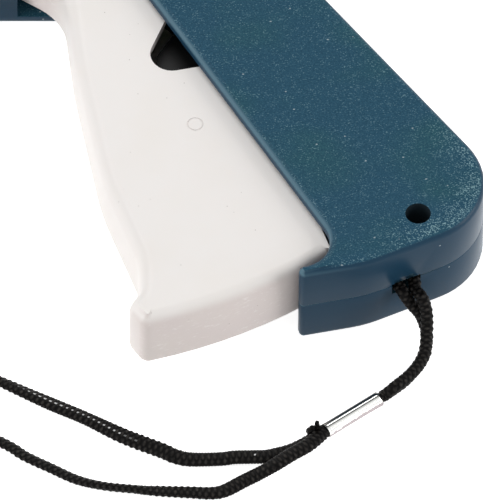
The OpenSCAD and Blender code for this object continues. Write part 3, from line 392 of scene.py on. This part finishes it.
def heel_rim(tree, spot):
    """From 0 to 1 where a point lies in the band just inside the heel's rounded edge. It fades out beyond the heel."""
    # Painted highlight: this band is where the grain's painted glints are denser and brighter.
    centre = place(*HEEL_CENTRE, 0)
    spot = add(tree, "ShaderNodeMapping", {"Vector": spot, "Location": (-centre.x, -centre.y, 0),
                                           "Scale": (1, 1, 0)}).outputs["Vector"]
    end_way, end_normal, back_way, back_normal = (
        add(tree, "ShaderNodeVectorMath", {0: spot, 1: way}, operation="DOT_PRODUCT").outputs["Value"]
        for way in (END_WAY, END_NORMAL, BACK_WAY, BACK_NORMAL))
    beside = add(tree, "ShaderNodeMath", {0: end_normal, 1: back_normal}, operation="MAXIMUM").outputs[0]
    round_heel = add(tree, "ShaderNodeVectorMath", {0: spot}, operation="LENGTH").outputs["Value"]
    ways = add(tree, "ShaderNodeMath", {0: end_way, 1: back_way}, operation="MINIMUM").outputs[0]
    in_arc = add(tree, "ShaderNodeMath", {0: ways, 1: 0.0}, operation="GREATER_THAN").outputs[0]
    reach = add(tree, "ShaderNodeMix", {"Factor": in_arc, 2: beside, 3: round_heel}).outputs[0]
    inner = add(tree, "ShaderNodeMapRange", {"Value": reach, "From Min": HEEL_RADIUS - 0.0085,
                                             "From Max": HEEL_RADIUS - 0.002}).outputs["Result"]
    outer = add(tree, "ShaderNodeMapRange", {"Value": reach, "From Min": HEEL_RADIUS - 0.0008,
                                             "From Max": HEEL_RADIUS - 0.0014}).outputs["Result"]
    band = add(tree, "ShaderNodeMath", {0: inner, 1: outer}, operation="MULTIPLY").outputs[0]
    near_end = add(tree, "ShaderNodeMapRange", {"Value": end_way, "From Min": -0.014, "From Max": -0.002,
                                                "To Min": 0.15}).outputs["Result"]
    near_back = add(tree, "ShaderNodeMapRange", {"Value": back_way, "From Min": -0.012, "From Max": 0.005,
                                                 "To Min": 0.1}).outputs["Result"]
    band = add(tree, "ShaderNodeMath", {0: band, 1: near_end}, operation="MULTIPLY").outputs[0]
    return add(tree, "ShaderNodeMath", {0: band, 1: near_back}, operation="MULTIPLY").outputs[0]


def moulded_abs(settings, name, gloss):
    """Teal ABS, injection moulded.

    The mould's faces were spark-eroded, which gives a fine grain whose tops glint. The glints are painted highlights
    in the colour, and the grain runs a little way over the rounded edges. The walls below them are smooth and shinier,
    and painted a darker teal as painted shade.
    """
    material, tree, shader = new_material(name)
    spot = add(tree, "ShaderNodeTexCoord").outputs["Object"]
    rim = heel_rim(tree, spot)
    spot = add(tree, "ShaderNodeMapping", {"Vector": spot, "Scale": (0.8, 1.15, 1)}).outputs["Vector"]
    normal, level = slope_of(tree)
    face = add(tree, "ShaderNodeMapRange", {"Value": level, "From Min": 0.72, "From Max": 0.93},
               interpolation_type="SMOOTHSTEP").outputs["Result"]
    edge = add(tree, "ShaderNodeMapRange", {"Value": level, "From Min": 0.99999, "From Max": 0.97}).outputs["Result"]
    grain = add(tree, "ShaderNodeTexNoise", {"Vector": spot, "Scale": 1 / settings.grain, "Detail": 2.5,
                                             "Roughness": 0.6}).outputs["Fac"]
    patches = add(tree, "ShaderNodeTexNoise", {"Vector": spot, "Scale": 0.25 / settings.grain,
                                               "Detail": 1.0}).outputs["Fac"]
    # Painted highlight: a glint is a lighter colour painted on a high grain top. Its limit falls where the patches,
    # the rounded edge and the band inside the heel's edge let more of them show.
    limit = add(tree, "ShaderNodeMapRange", {"Value": patches, "From Min": 0.3, "From Max": 0.7, "To Min": 0.66,
                                             "To Max": 0.57}).outputs["Result"]
    limit = add(tree, "ShaderNodeMath", {0: edge, 1: -0.04, 2: limit}, operation="MULTIPLY_ADD").outputs[0]
    limit = add(tree, "ShaderNodeMath", {0: rim, 1: -0.075, 2: limit}, operation="MULTIPLY_ADD").outputs[0]
    proud = add(tree, "ShaderNodeMath", {0: grain, 1: limit}, operation="SUBTRACT").outputs[0]
    glint = add(tree, "ShaderNodeMapRange", {"Value": proud, "From Max": 0.06}).outputs["Result"]
    glint = add(tree, "ShaderNodeMath", {0: glint, 1: face}, operation="MULTIPLY").outputs[0]
    # The painted glints are brighter in the band inside the heel's edge.
    bright = add(tree, "ShaderNodeMapRange", {"Value": rim, "To Min": 0.38, "To Max": 0.85}).outputs["Result"]
    glint = add(tree, "ShaderNodeMath", {0: glint, 1: bright}, operation="MULTIPLY").outputs[0]
    dull = add(tree, "ShaderNodeMapRange", {"Value": grain, "From Min": 0.3, "From Max": 0.6}).outputs["Result"]
    clouds = add(tree, "ShaderNodeTexNoise", {"Vector": spot, "Scale": 1 / 0.016, "Detail": 1.5}).outputs["Fac"]
    clouds = add(tree, "ShaderNodeMapRange", {"Value": clouds, "From Min": 0.42, "From Max": 0.62}).outputs["Result"]
    tops = add(tree, "ShaderNodeMix", {"Factor": clouds, 6: linear(settings.face), 7: linear(settings.cloud)},
               data_type="RGBA").outputs[2]
    grained = add(tree, "ShaderNodeMix", {"Factor": dull, 6: linear(settings.pit), 7: tops},
                  data_type="RGBA").outputs[2]
    # Painted shade: the upright walls take the darker wall colour.
    base = add(tree, "ShaderNodeMix", {"Factor": face, 6: linear(settings.wall), 7: grained},
               data_type="RGBA").outputs[2]
    base = add(tree, "ShaderNodeMix", {"Factor": glint, 6: base, 7: linear(settings.painted_glint)},
               data_type="RGBA").outputs[2]
    # Painted highlight: the rounded edge beside the trigger is painted lighter, as a painted reflection of the light
    # and of the white plastic.
    towards = add(tree, "ShaderNodeVectorMath", {0: normal, 1: (-0.78, -0.62, 0)},
                  operation="DOT_PRODUCT").outputs["Value"]
    towards = add(tree, "ShaderNodeMapRange", {"Value": towards, "From Min": 0.35, "From Max": 0.7}).outputs["Result"]
    rounded = add(tree, "ShaderNodeMapRange", {"Value": level, "From Min": 0.1, "From Max": 0.4,
                                               "To Max": 0.75}).outputs["Result"]
    painted_edge_highlight = add(tree, "ShaderNodeMath", {0: towards, 1: rounded}, operation="MULTIPLY").outputs[0]
    base = add(tree, "ShaderNodeMix", {"Factor": painted_edge_highlight, 6: base, 7: linear(settings.edge)},
               data_type="RGBA").outputs[2]
    # A few pale dust specks sit on the smooth walls.
    cells = add(tree, "ShaderNodeTexVoronoi", {"Vector": spot, "Scale": 1 / 0.0035}).outputs["Distance"]
    dust = add(tree, "ShaderNodeMapRange", {"Value": cells, "From Min": 0.055, "From Max": 0.035}).outputs["Result"]
    dust = add(tree, "ShaderNodeMath", {0: dust, 1: 0.6}, operation="MULTIPLY").outputs[0]
    base = add(tree, "ShaderNodeMix", {"Factor": dust, 6: base, 7: linear("#b9c7cc")}, data_type="RGBA").outputs[2]
    tree.links.new(base, shader.inputs["Base Color"])
    rough = add(tree, "ShaderNodeMapRange", {"Value": face, "To Min": 0.3, "To Max": 0.5}).outputs["Result"]
    tree.links.new(rough, shader.inputs["Roughness"])
    strength = add(tree, "ShaderNodeMapRange", {"Value": face, "To Min": 0.04, "To Max": 0.75}).outputs["Result"]
    bump = add(tree, "ShaderNodeBump", {"Height": grain, "Strength": strength, "Distance": 0.00008})
    tree.links.new(bump.outputs["Normal"], shader.inputs["Normal"])
    shader.inputs["IOR"].default_value = 1.54
    shader.inputs["Specular IOR Level"].default_value = gloss
    return material


def moulded_acetal(settings):
    """Off-white acetal, injection moulded and almost smooth, which gives it a soft, slightly milky look.

    Its faces carry a few dirt specks. Its walls, most of all those that face -Y, are painted a darker pinkish grey as
    painted shade, and they are worn lighter in patches.
    """
    material, tree, shader = new_material("off_white_moulded_acetal")
    spot = add(tree, "ShaderNodeTexCoord").outputs["Object"]
    normal, level = slope_of(tree)
    # Painted shade: the walls, most of all those that face -Y, take the darker wall colour.
    wall = add(tree, "ShaderNodeMapRange", {"Value": level, "From Min": 0.9, "From Max": 0.3},
               interpolation_type="SMOOTHSTEP").outputs["Result"]
    below = add(tree, "ShaderNodeVectorMath", {0: normal, 1: (0.3, -0.95, 0)},
                operation="DOT_PRODUCT").outputs["Value"]
    below = add(tree, "ShaderNodeMapRange", {"Value": below, "From Max": 0.5, "To Min": 0.12}).outputs["Result"]
    wall = add(tree, "ShaderNodeMath", {0: wall, 1: below}, operation="MULTIPLY").outputs[0]
    base = add(tree, "ShaderNodeMix", {"Factor": wall, 6: linear(settings.face), 7: linear(settings.wall)},
               data_type="RGBA").outputs[2]
    clouds = add(tree, "ShaderNodeTexNoise", {"Vector": spot, "Scale": 1 / 0.012, "Detail": 2.0}).outputs["Fac"]
    clouds = add(tree, "ShaderNodeMapRange", {"Value": clouds, "From Min": 0.4, "From Max": 0.7,
                                              "To Max": 0.25}).outputs["Result"]
    base = add(tree, "ShaderNodeMix", {"Factor": clouds, 6: base, 7: linear("#e6e0d8")}, data_type="RGBA").outputs[2]
    rubs = add(tree, "ShaderNodeMapping", {"Vector": spot, "Scale": (0.35, 1.2, 1.6)}).outputs["Vector"]
    rubs = add(tree, "ShaderNodeTexNoise", {"Vector": rubs, "Scale": 1 / 0.0011, "Detail": 3.0,
                                            "Roughness": 0.7}).outputs["Fac"]
    rubs = add(tree, "ShaderNodeMapRange", {"Value": rubs, "From Min": 0.58, "From Max": 0.7,
                                            "To Max": 0.4}).outputs["Result"]
    rubs = add(tree, "ShaderNodeMath", {0: rubs, 1: wall}, operation="MULTIPLY").outputs[0]
    base = add(tree, "ShaderNodeMix", {"Factor": rubs, 6: base, 7: linear("#f6f2f0")}, data_type="RGBA").outputs[2]
    cells = add(tree, "ShaderNodeTexVoronoi", {"Vector": spot, "Scale": 1 / settings.speck_spacing})
    specks = add(tree, "ShaderNodeMapRange", {"Value": cells.outputs["Distance"], "From Min": 0.045,
                                              "From Max": 0.03, "To Max": 0.7}).outputs["Result"]
    base = add(tree, "ShaderNodeMix", {"Factor": specks, 6: base, 7: linear(settings.speck)},
               data_type="RGBA").outputs[2]
    tree.links.new(base, shader.inputs["Base Color"])
    shader.inputs["Roughness"].default_value = 0.45
    shader.inputs["IOR"].default_value = 1.48
    shader.inputs["Subsurface Weight"].default_value = 0.06
    shader.inputs["Subsurface Radius"].default_value = (0.0012, 0.001, 0.0009)
    shader.inputs["Subsurface Scale"].default_value = 1.0
    fine = add(tree, "ShaderNodeTexNoise", {"Vector": spot, "Scale": 1 / 0.0005}).outputs["Fac"]
    bump = add(tree, "ShaderNodeBump", {"Height": fine, "Strength": 0.1, "Distance": 0.00005})
    tree.links.new(bump.outputs["Normal"], shader.inputs["Normal"])
    return material


def even_finish(name, colour, roughness, gloss=0.5):
    """An even and faintly mottled finish.

    It suits nylon and acetal from a polished mould. It also gives the near-black painted shade inside the bores of the
    ABS housing, and on the screws deep in their holes.
    """
    material, tree, shader = new_material(name)
    spot = add(tree, "ShaderNodeTexCoord").outputs["Object"]
    mottle = add(tree, "ShaderNodeTexNoise", {"Vector": spot, "Scale": 1 / 0.003}).outputs["Fac"]
    mottle = add(tree, "ShaderNodeMapRange", {"Value": mottle, "To Max": 0.3}).outputs["Result"]
    tone = add(tree, "ShaderNodeMix", {"Factor": mottle, 6: linear(colour), 7: linear("#6f6f6f")},
               data_type="RGBA", blend_type="SOFT_LIGHT").outputs[2]
    tree.links.new(tone, shader.inputs["Base Color"])
    shader.inputs["Roughness"].default_value = roughness
    shader.inputs["Specular IOR Level"].default_value = gloss
    fine = add(tree, "ShaderNodeTexNoise", {"Vector": spot, "Scale": 1 / 0.0004}).outputs["Fac"]
    bump = add(tree, "ShaderNodeBump", {"Height": fine, "Strength": 0.12, "Distance": 0.00004})
    tree.links.new(bump.outputs["Normal"], shader.inputs["Normal"])
    return material


def drawn_steel():
    """Bright steel of pins, rod, needle and springs. Drawing leaves fine bright and dull marks along the wire."""
    material, tree, shader = new_material("bright_drawn_steel")
    spot = add(tree, "ShaderNodeTexCoord").outputs["Object"]
    spot = add(tree, "ShaderNodeMapping", {"Vector": spot, "Scale": (0.06, 1, 1)}).outputs["Vector"]
    marks = add(tree, "ShaderNodeTexNoise", {"Vector": spot, "Scale": 1 / 0.0002}).outputs["Fac"]
    tone = add(tree, "ShaderNodeMix", {"Factor": marks, 6: linear("#a4a7ab"), 7: linear("#d2d5d8")},
               data_type="RGBA").outputs[2]
    tree.links.new(tone, shader.inputs["Base Color"])
    shader.inputs["Metallic"].default_value = 1.0
    rough = add(tree, "ShaderNodeMapRange", {"Value": marks, "To Min": 0.16, "To Max": 0.4}).outputs["Result"]
    tree.links.new(rough, shader.inputs["Roughness"])
    return material


def plated_tube():
    """Nickel-plated rolled brass of the crimp: bright, with painted shade in dark lines along its seam, and dull and a
    darker pinkish grey where it was pressed, partly a scuffed finish and partly painted shade.
    """
    material, tree, shader = new_material("bright_plated_tube")
    spot = add(tree, "ShaderNodeTexCoord").outputs["Object"]
    marks = add(tree, "ShaderNodeTexNoise", {"Vector": spot, "Scale": 1 / 0.0007, "Detail": 4.0,
                                             "Roughness": 0.65}).outputs["Fac"]
    pressed = add(tree, "ShaderNodeAttribute", attribute_name="pressed").outputs["Fac"]
    pressed = add(tree, "ShaderNodeMath", {0: pressed, 1: marks}, operation="ADD").outputs[0]
    pressed = add(tree, "ShaderNodeMapRange", {"Value": pressed, "From Min": 0.95, "From Max": 1.05}).outputs["Result"]
    seam = add(tree, "ShaderNodeAttribute", attribute_name="seam").outputs["Fac"]
    # The pressed lower side is dull and a darker pinkish grey: partly a scuffed finish and partly painted shade.
    dull = add(tree, "ShaderNodeMix", {"Factor": marks, 6: linear("#877e81"), 7: linear("#c6bdbf")},
               data_type="RGBA").outputs[2]
    tone = add(tree, "ShaderNodeMix", {"Factor": pressed, 6: linear("#f4f4f1"), 7: dull}, data_type="RGBA").outputs[2]
    # Painted shade: the seam's lines are painted near black.
    tone = add(tree, "ShaderNodeMix", {"Factor": seam, 6: tone, 7: linear("#20211f")}, data_type="RGBA").outputs[2]
    tree.links.new(tone, shader.inputs["Base Color"])
    shader.inputs["Metallic"].default_value = 1.0
    rough = add(tree, "ShaderNodeMapRange", {"Value": pressed, "To Min": 0.17, "To Max": 0.42}).outputs["Result"]
    tree.links.new(rough, shader.inputs["Roughness"])
    return material


def plaited_nylon(settings):
    """Black nylon yarn, plaited, with painted shade darkening its gaps and a dull brownish-black painted highlight on
    top of the stitches.
    """
    material, tree, shader = new_material("black_plaited_nylon")
    spot = add(tree, "ShaderNodeTexCoord").outputs["Object"]
    threads = add(tree, "ShaderNodeTexNoise", {"Vector": spot, "Scale": 1 / 0.00015}).outputs["Fac"]
    uneven_highlight = add(tree, "ShaderNodeTexNoise", {"Vector": spot, "Scale": 1 / 0.0011, "Detail": 1.0}).outputs["Fac"]
    uneven_highlight = add(tree, "ShaderNodeMapRange", {"Value": uneven_highlight, "From Min": 0.35, "From Max": 0.7,
                                            "To Min": 0.25}).outputs["Result"]
    stitch = add(tree, "ShaderNodeAttribute", attribute_name="stitch").outputs["Fac"]
    # Painted highlight on the stitch tops, unevenly in patches, and painted shade in the gaps.
    top = add(tree, "ShaderNodeMapRange", {"Value": stitch, "From Min": 0.7}).outputs["Result"]
    top = add(tree, "ShaderNodeMath", {0: top, 1: uneven_highlight}, operation="MULTIPLY").outputs[0]
    tone = add(tree, "ShaderNodeMix", {"Factor": top, 6: linear(settings.gaps), 7: linear(settings.stitches)},
               data_type="RGBA").outputs[2]
    gleam = add(tree, "ShaderNodeAttribute", attribute_name="gleam").outputs["Fac"]
    # Painted light: white where light would show through the plait's gaps.
    tone = add(tree, "ShaderNodeMix", {"Factor": gleam, 6: tone, 7: linear("#f4f4f4")}, data_type="RGBA").outputs[2]
    tree.links.new(tone, shader.inputs["Base Color"])
    shader.inputs["Roughness"].default_value = 0.42
    shader.inputs["Specular IOR Level"].default_value = 0.07
    bump = add(tree, "ShaderNodeBump", {"Height": threads, "Strength": 0.5, "Distance": 0.00006})
    tree.links.new(bump.outputs["Normal"], shader.inputs["Normal"])
    return material


def pale_floor():
    """White paper sweep. What the camera and mirrors see of it is white, and the object's shadow stays on it."""
    material, tree, shader = new_material("white_paper_floor")
    shader.inputs["Base Color"].default_value = linear("#f2f1f0")
    shader.inputs["Roughness"].default_value = 0.9
    strength = add(tree, "ShaderNodeMath", {0: seen_directly(tree), 1: 0.8}, operation="MULTIPLY").outputs[0]
    glow = add(tree, "ShaderNodeEmission", {"Color": WHITE, "Strength": strength})
    both = add(tree, "ShaderNodeAddShader", {0: shader.outputs["BSDF"], 1: glow.outputs[0]})
    output = next(n for n in tree.nodes if n.type == "OUTPUT_MATERIAL")
    tree.links.new(both.outputs[0], output.inputs["Surface"])
    return material


# ---------------------------------------------------------------------------------------------------------------
# Operators.

class TAGGER_OT_stage(bpy.types.Operator):
    """Sets the floor, the lamps, the world and the camera"""

    bl_idname = "tagger.stage"
    bl_label = "Stage and Camera"

    def execute(self, context):
        settings = context.scene.tagger_stage
        floor_builder = bmesh.new()
        bmesh.ops.create_grid(floor_builder, x_segments=1, y_segments=1, size=3)
        mesh = bpy.data.meshes.new("floor")
        floor_builder.to_mesh(mesh)
        floor_builder.free()
        mesh.materials.append(pale_floor())
        floor = bpy.data.objects.new("floor", mesh)
        context.scene.collection.objects.link(floor)

        middle = place(-34.46, -0.97, MID)
        slope = settings.elevation
        offset = Vector((0, -math.cos(slope), math.sin(slope))) * settings.distance
        camera_data = bpy.data.cameras.new("camera")
        camera_data.sensor_fit = "HORIZONTAL"
        camera_data.sensor_width = 36
        camera_data.lens = 36 * settings.distance / settings.across
        camera_data.clip_start = 0.05
        camera = bpy.data.objects.new("camera", camera_data)
        camera.location = middle + offset - Vector((settings.aside, 0, 0))
        # It stands a little to the left and turns right about its own upright axis, so that X stays level.
        look = (-offset).to_track_quat("-Z", "Y").to_matrix()
        turn = Matrix.Rotation(-math.atan2(settings.aside, settings.distance), 3, "Y")
        camera.rotation_euler = (look @ turn).to_euler()
        context.scene.collection.objects.link(camera)
        context.scene.camera = camera

        for name, spot, size, share in LAMPS:
            self.lamp(context, name, spot, size, settings.key_power * share)

        world = bpy.data.worlds.new("world")
        world.use_nodes = True
        tree = world.node_tree
        tree.nodes.clear()
        strength = add(tree, "ShaderNodeMapRange", {"Value": seen_directly(tree), "To Min": 0.35, "To Max": 0.95})
        background = add(tree, "ShaderNodeBackground", {"Color": WHITE, "Strength": strength.outputs["Result"]})
        output = add(tree, "ShaderNodeOutputWorld")
        tree.links.new(background.outputs[0], output.inputs["Surface"])
        context.scene.world = world
        context.scene.view_settings.view_transform = "Standard"
        return {"FINISHED"}

    def lamp(self, context, name, spot, size, power):
        data = bpy.data.lights.new(name, "AREA")
        data.shape = "SQUARE"
        data.size = size
        data.energy = power
        lamp = bpy.data.objects.new(name, data)
        lamp.location = spot
        lamp.rotation_euler = (-Vector(spot)).to_track_quat("-Z", "Y").to_euler()
        context.scene.collection.objects.link(lamp)


class TAGGER_OT_lanyard(bpy.types.Operator):
    """Lays out the plaited lanyard, its crimp and its sealed ends"""

    bl_idname = "tagger.lanyard"
    bl_label = "Lanyard"

    def execute(self, context):
        settings = context.scene.tagger_lanyard
        nylon = plaited_nylon(settings)
        loose, slim, nipped = 1000 * settings.diameter / 2, 1.0, [0.8, 1.15]
        legs = nipped + [loose] * (len(LOWER_LEG) - 2)
        bend = [loose] + [slim] * (len(ANCHOR) - 2) + [loose]
        small, line, size = plaited_cord("lanyard_small_loop", LOWER_LEG + ANCHOR + UPPER_LEG,
                                         legs + bend + [loose] * (len(UPPER_LEG) - 2) + nipped[::-1], settings, 1.06)
        small.data.materials.append(nylon)
        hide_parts("lanyard_leg_lower", "lanyard_anchor_bend", "lanyard_leg_upper")

        crimp = self.crimp()
        crimp.data.materials.append(plated_tube())
        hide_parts("lanyard_crimp")
        for k, (route, radii) in enumerate(CORD_ENDS):
            back = Vector((-CRIMP_WAY.y, CRIMP_WAY.x, 0))
            points = [CRIMP_LEFT - x * CRIMP_WAY + y * back + Vector((0, 0, z)) for x, y, z in route]
            end, _, _ = plaited_cord(f"lanyard_sealed_end_{k + 1}", points, radii, settings, around=24)
            end.data.materials.append(nylon)
        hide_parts("lanyard_cord_ends")

        radii = nipped + [loose] * (len(WRIST) - 4) + nipped[::-1]
        wrist, line, size = plaited_cord("lanyard_wrist", WRIST, radii, settings, settings.flatness, WRIST_LEAN,
                                         GLEAMS)
        wrist.data.materials.append(nylon)
        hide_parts("lanyard_wrist_loop")
        return {"FINISHED"}

    def crimp(self):
        """A rolled tube with its seam along the top painted as dark lines of painted shade, pressed flat along its
        lower side.
        """
        right, left = place(*CRIMP_RIGHT), place(*CRIMP_LEFT)
        way = right - left
        builder = bmesh.new()
        seam_shade_layer = builder.verts.layers.float.new("seam")
        pressed_layer = builder.verts.layers.float.new("pressed")
        bmesh.ops.create_circle(builder, segments=CRIMP_COLUMNS, radius=CRIMP_RADIUS)
        ring = list(builder.edges)
        for _ in range(CRIMP_ROWS):
            made = bmesh.ops.extrude_edge_only(builder, edges=ring)["geom"]
            verts = [g for g in made if isinstance(g, bmesh.types.BMVert)]
            ring = [g for g in made if isinstance(g, bmesh.types.BMEdge)]
            bmesh.ops.translate(builder, verts=verts, vec=(0, 0, way.length / CRIMP_ROWS))
        for vert in builder.verts:
            column = round(math.degrees(math.atan2(vert.co.y, vert.co.x)) * CRIMP_COLUMNS / 360)
            middle = math.exp(-((vert.co.z / way.length - 0.5) / 0.36) ** 4)
            pressed = math.exp(-((column - 39) / 13) ** 4) * middle
            vert.co *= Vector((1 - PRESSED_SHARE * pressed, 1 - PRESSED_SHARE * pressed, 1))
            vert[seam_shade_layer] = next((dark for first, last, dark in PAINTED_SEAM_SHADE if first <= column <= last), 0)
            vert[pressed_layer] = (0.62 + 0.3 * vert.co.z / way.length) * math.exp(-((column - 43) / 14) ** 2)
        bmesh.ops.recalc_face_normals(builder, faces=builder.faces)
        # The tube's own X points to the seam, which lies on the tube's upper side, turned towards the back.
        across = Vector((-way.y, way.x, 0)).normalized()
        lean = math.radians(SEAM_LEAN)
        seam = (math.cos(lean) * Vector((0, 0, 1)) + math.sin(lean) * across).normalized()
        side = way.normalized().cross(seam)
        turn = Matrix((seam, side, way.normalized())).transposed().to_4x4()
        bmesh.ops.transform(builder, matrix=Matrix.Translation(left) @ turn, verts=builder.verts)
        piece = finished(builder, "lanyard_crimp_tube", "housing")
        wall = piece.modifiers.new("wall", "SOLIDIFY")
        wall.thickness = 0.00025
        wall.offset = -1
        smoothed(piece, 40)
        return piece


class TAGGER_OT_housing(bpy.types.Operator):
    """Finishes the two housing halves and the bores of their screws"""

    bl_idname = "tagger.housing"
    bl_label = "Housing"

    def execute(self, context):
        grained = moulded_abs(context.scene.tagger_housing, "teal_grained_abs", 0.06)
        polished = moulded_abs(context.scene.tagger_housing, "teal_polished_abs", 0.11)
        # Painted shade: the inner walls of the screw bores are painted near black.
        bore = even_finish("painted_shade_bore_abs", "#1a242a", 0.8, 0.05)
        for side in ("left", "right"):
            piece = fine_copy(f"{side}_housing", f"{side}_shell", "housing")
            for material in (grained, polished, bore):
                piece.data.materials.append(material)
            spots = [place(x, y, 0) for x, y in SCREW_SPOTS]
            for face in piece.data.polygons:
                inside = any((face.center - spot).to_2d().length < BORE_RADIUS for spot in spots)
                if inside and abs(face.center.z - MID / 1000) < BORE_HALF_DEPTH:
                    face.material_index = 2
                else:
                    face.material_index = 0 if abs(face.normal.z) > LEVEL else 1
        return {"FINISHED"}


class TAGGER_OT_trigger(bpy.types.Operator):
    """Finishes the trigger"""

    bl_idname = "tagger.trigger"
    bl_label = "Trigger"

    def execute(self, context):
        piece = fine_copy("trigger", "trigger_shell", "trigger")
        piece.data.materials.append(moulded_acetal(context.scene.tagger_trigger))
        return {"FINISHED"}


class TAGGER_OT_mechanism(bpy.types.Operator):
    """Finishes the pieces of the drive, the needle and the feed"""

    bl_idname = "tagger.mechanism"
    bl_label = "Mechanism"

    def execute(self, context):
        steel = drawn_steel()
        # Painted shade: the screws are near black, so that they read as the shade deep in their holes.
        dress(["housing_screws"], even_finish("painted_shade_screw_steel", "#0f1012", 0.5))
        dress(["trigger_pivot_pin", "drive_pin", "lever_pivot_pin", "cross_pin", "pusher_rod", "needle",
               "lock_lever_washer", "knife_blade", "feed_shaft", "pawl_pin", "pawl_spring"], steel)
        for node_name, joint, axis, fixed_end, share in SPRINGS:
            spring = fine_copy(node_name, f"{node_name}_coil", "housing")
            spring.data.materials.append(steel)
            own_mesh(spring)
        dress(["rod_guide", "needle_base", "clip_guide", "feed_wheel", "ratchet_wheel"],
              even_finish("white_acetal", "#e9e6df", 0.35))
        # The drive lever shows through the trigger's notch, where its near-black colour also stands for the shade
        # inside the housing: painted shade. The other pieces are black nylon.
        dress(["drive_lever", "carriage", "needle_lock_lever", "feed_pawl", "release_button"],
              even_finish("black_nylon_and_notch_shade", "#0d0e0f", 0.5, 0.25))
        return {"FINISHED"}


OPERATORS = (TAGGER_OT_stage, TAGGER_OT_lanyard, TAGGER_OT_housing, TAGGER_OT_trigger, TAGGER_OT_mechanism)


class TAGGER_PT_panel(bpy.types.Panel):
    bl_idname = "TAGGER_PT_panel"
    bl_label = "Tag Attacher"
    bl_space_type = "VIEW_3D"
    bl_region_type = "UI"
    bl_category = "Tag Attacher"

    def draw(self, context):
        for operator in OPERATORS:
            self.layout.operator(operator.bl_idname)


SETTINGS = {"tagger_housing": HousingSettings, "tagger_trigger": TriggerSettings,
            "tagger_lanyard": LanyardSettings, "tagger_stage": StageSettings}
CLASSES = tuple(SETTINGS.values()) + OPERATORS + (TAGGER_PT_panel,)


def register():
    for item in CLASSES:
        bpy.utils.register_class(item)
    for name, group in SETTINGS.items():
        setattr(bpy.types.Scene, name, bpy.props.PointerProperty(type=group))


def unregister():
    for name in SETTINGS:
        delattr(bpy.types.Scene, name)
    for item in reversed(CLASSES):
        bpy.utils.unregister_class(item)


def main():
    register()
    bpy.ops.tagger.stage()
    bpy.ops.tagger.lanyard()
    bpy.ops.tagger.housing()
    bpy.ops.tagger.trigger()
    bpy.ops.tagger.mechanism()


if __name__ == "__main__":
    main()
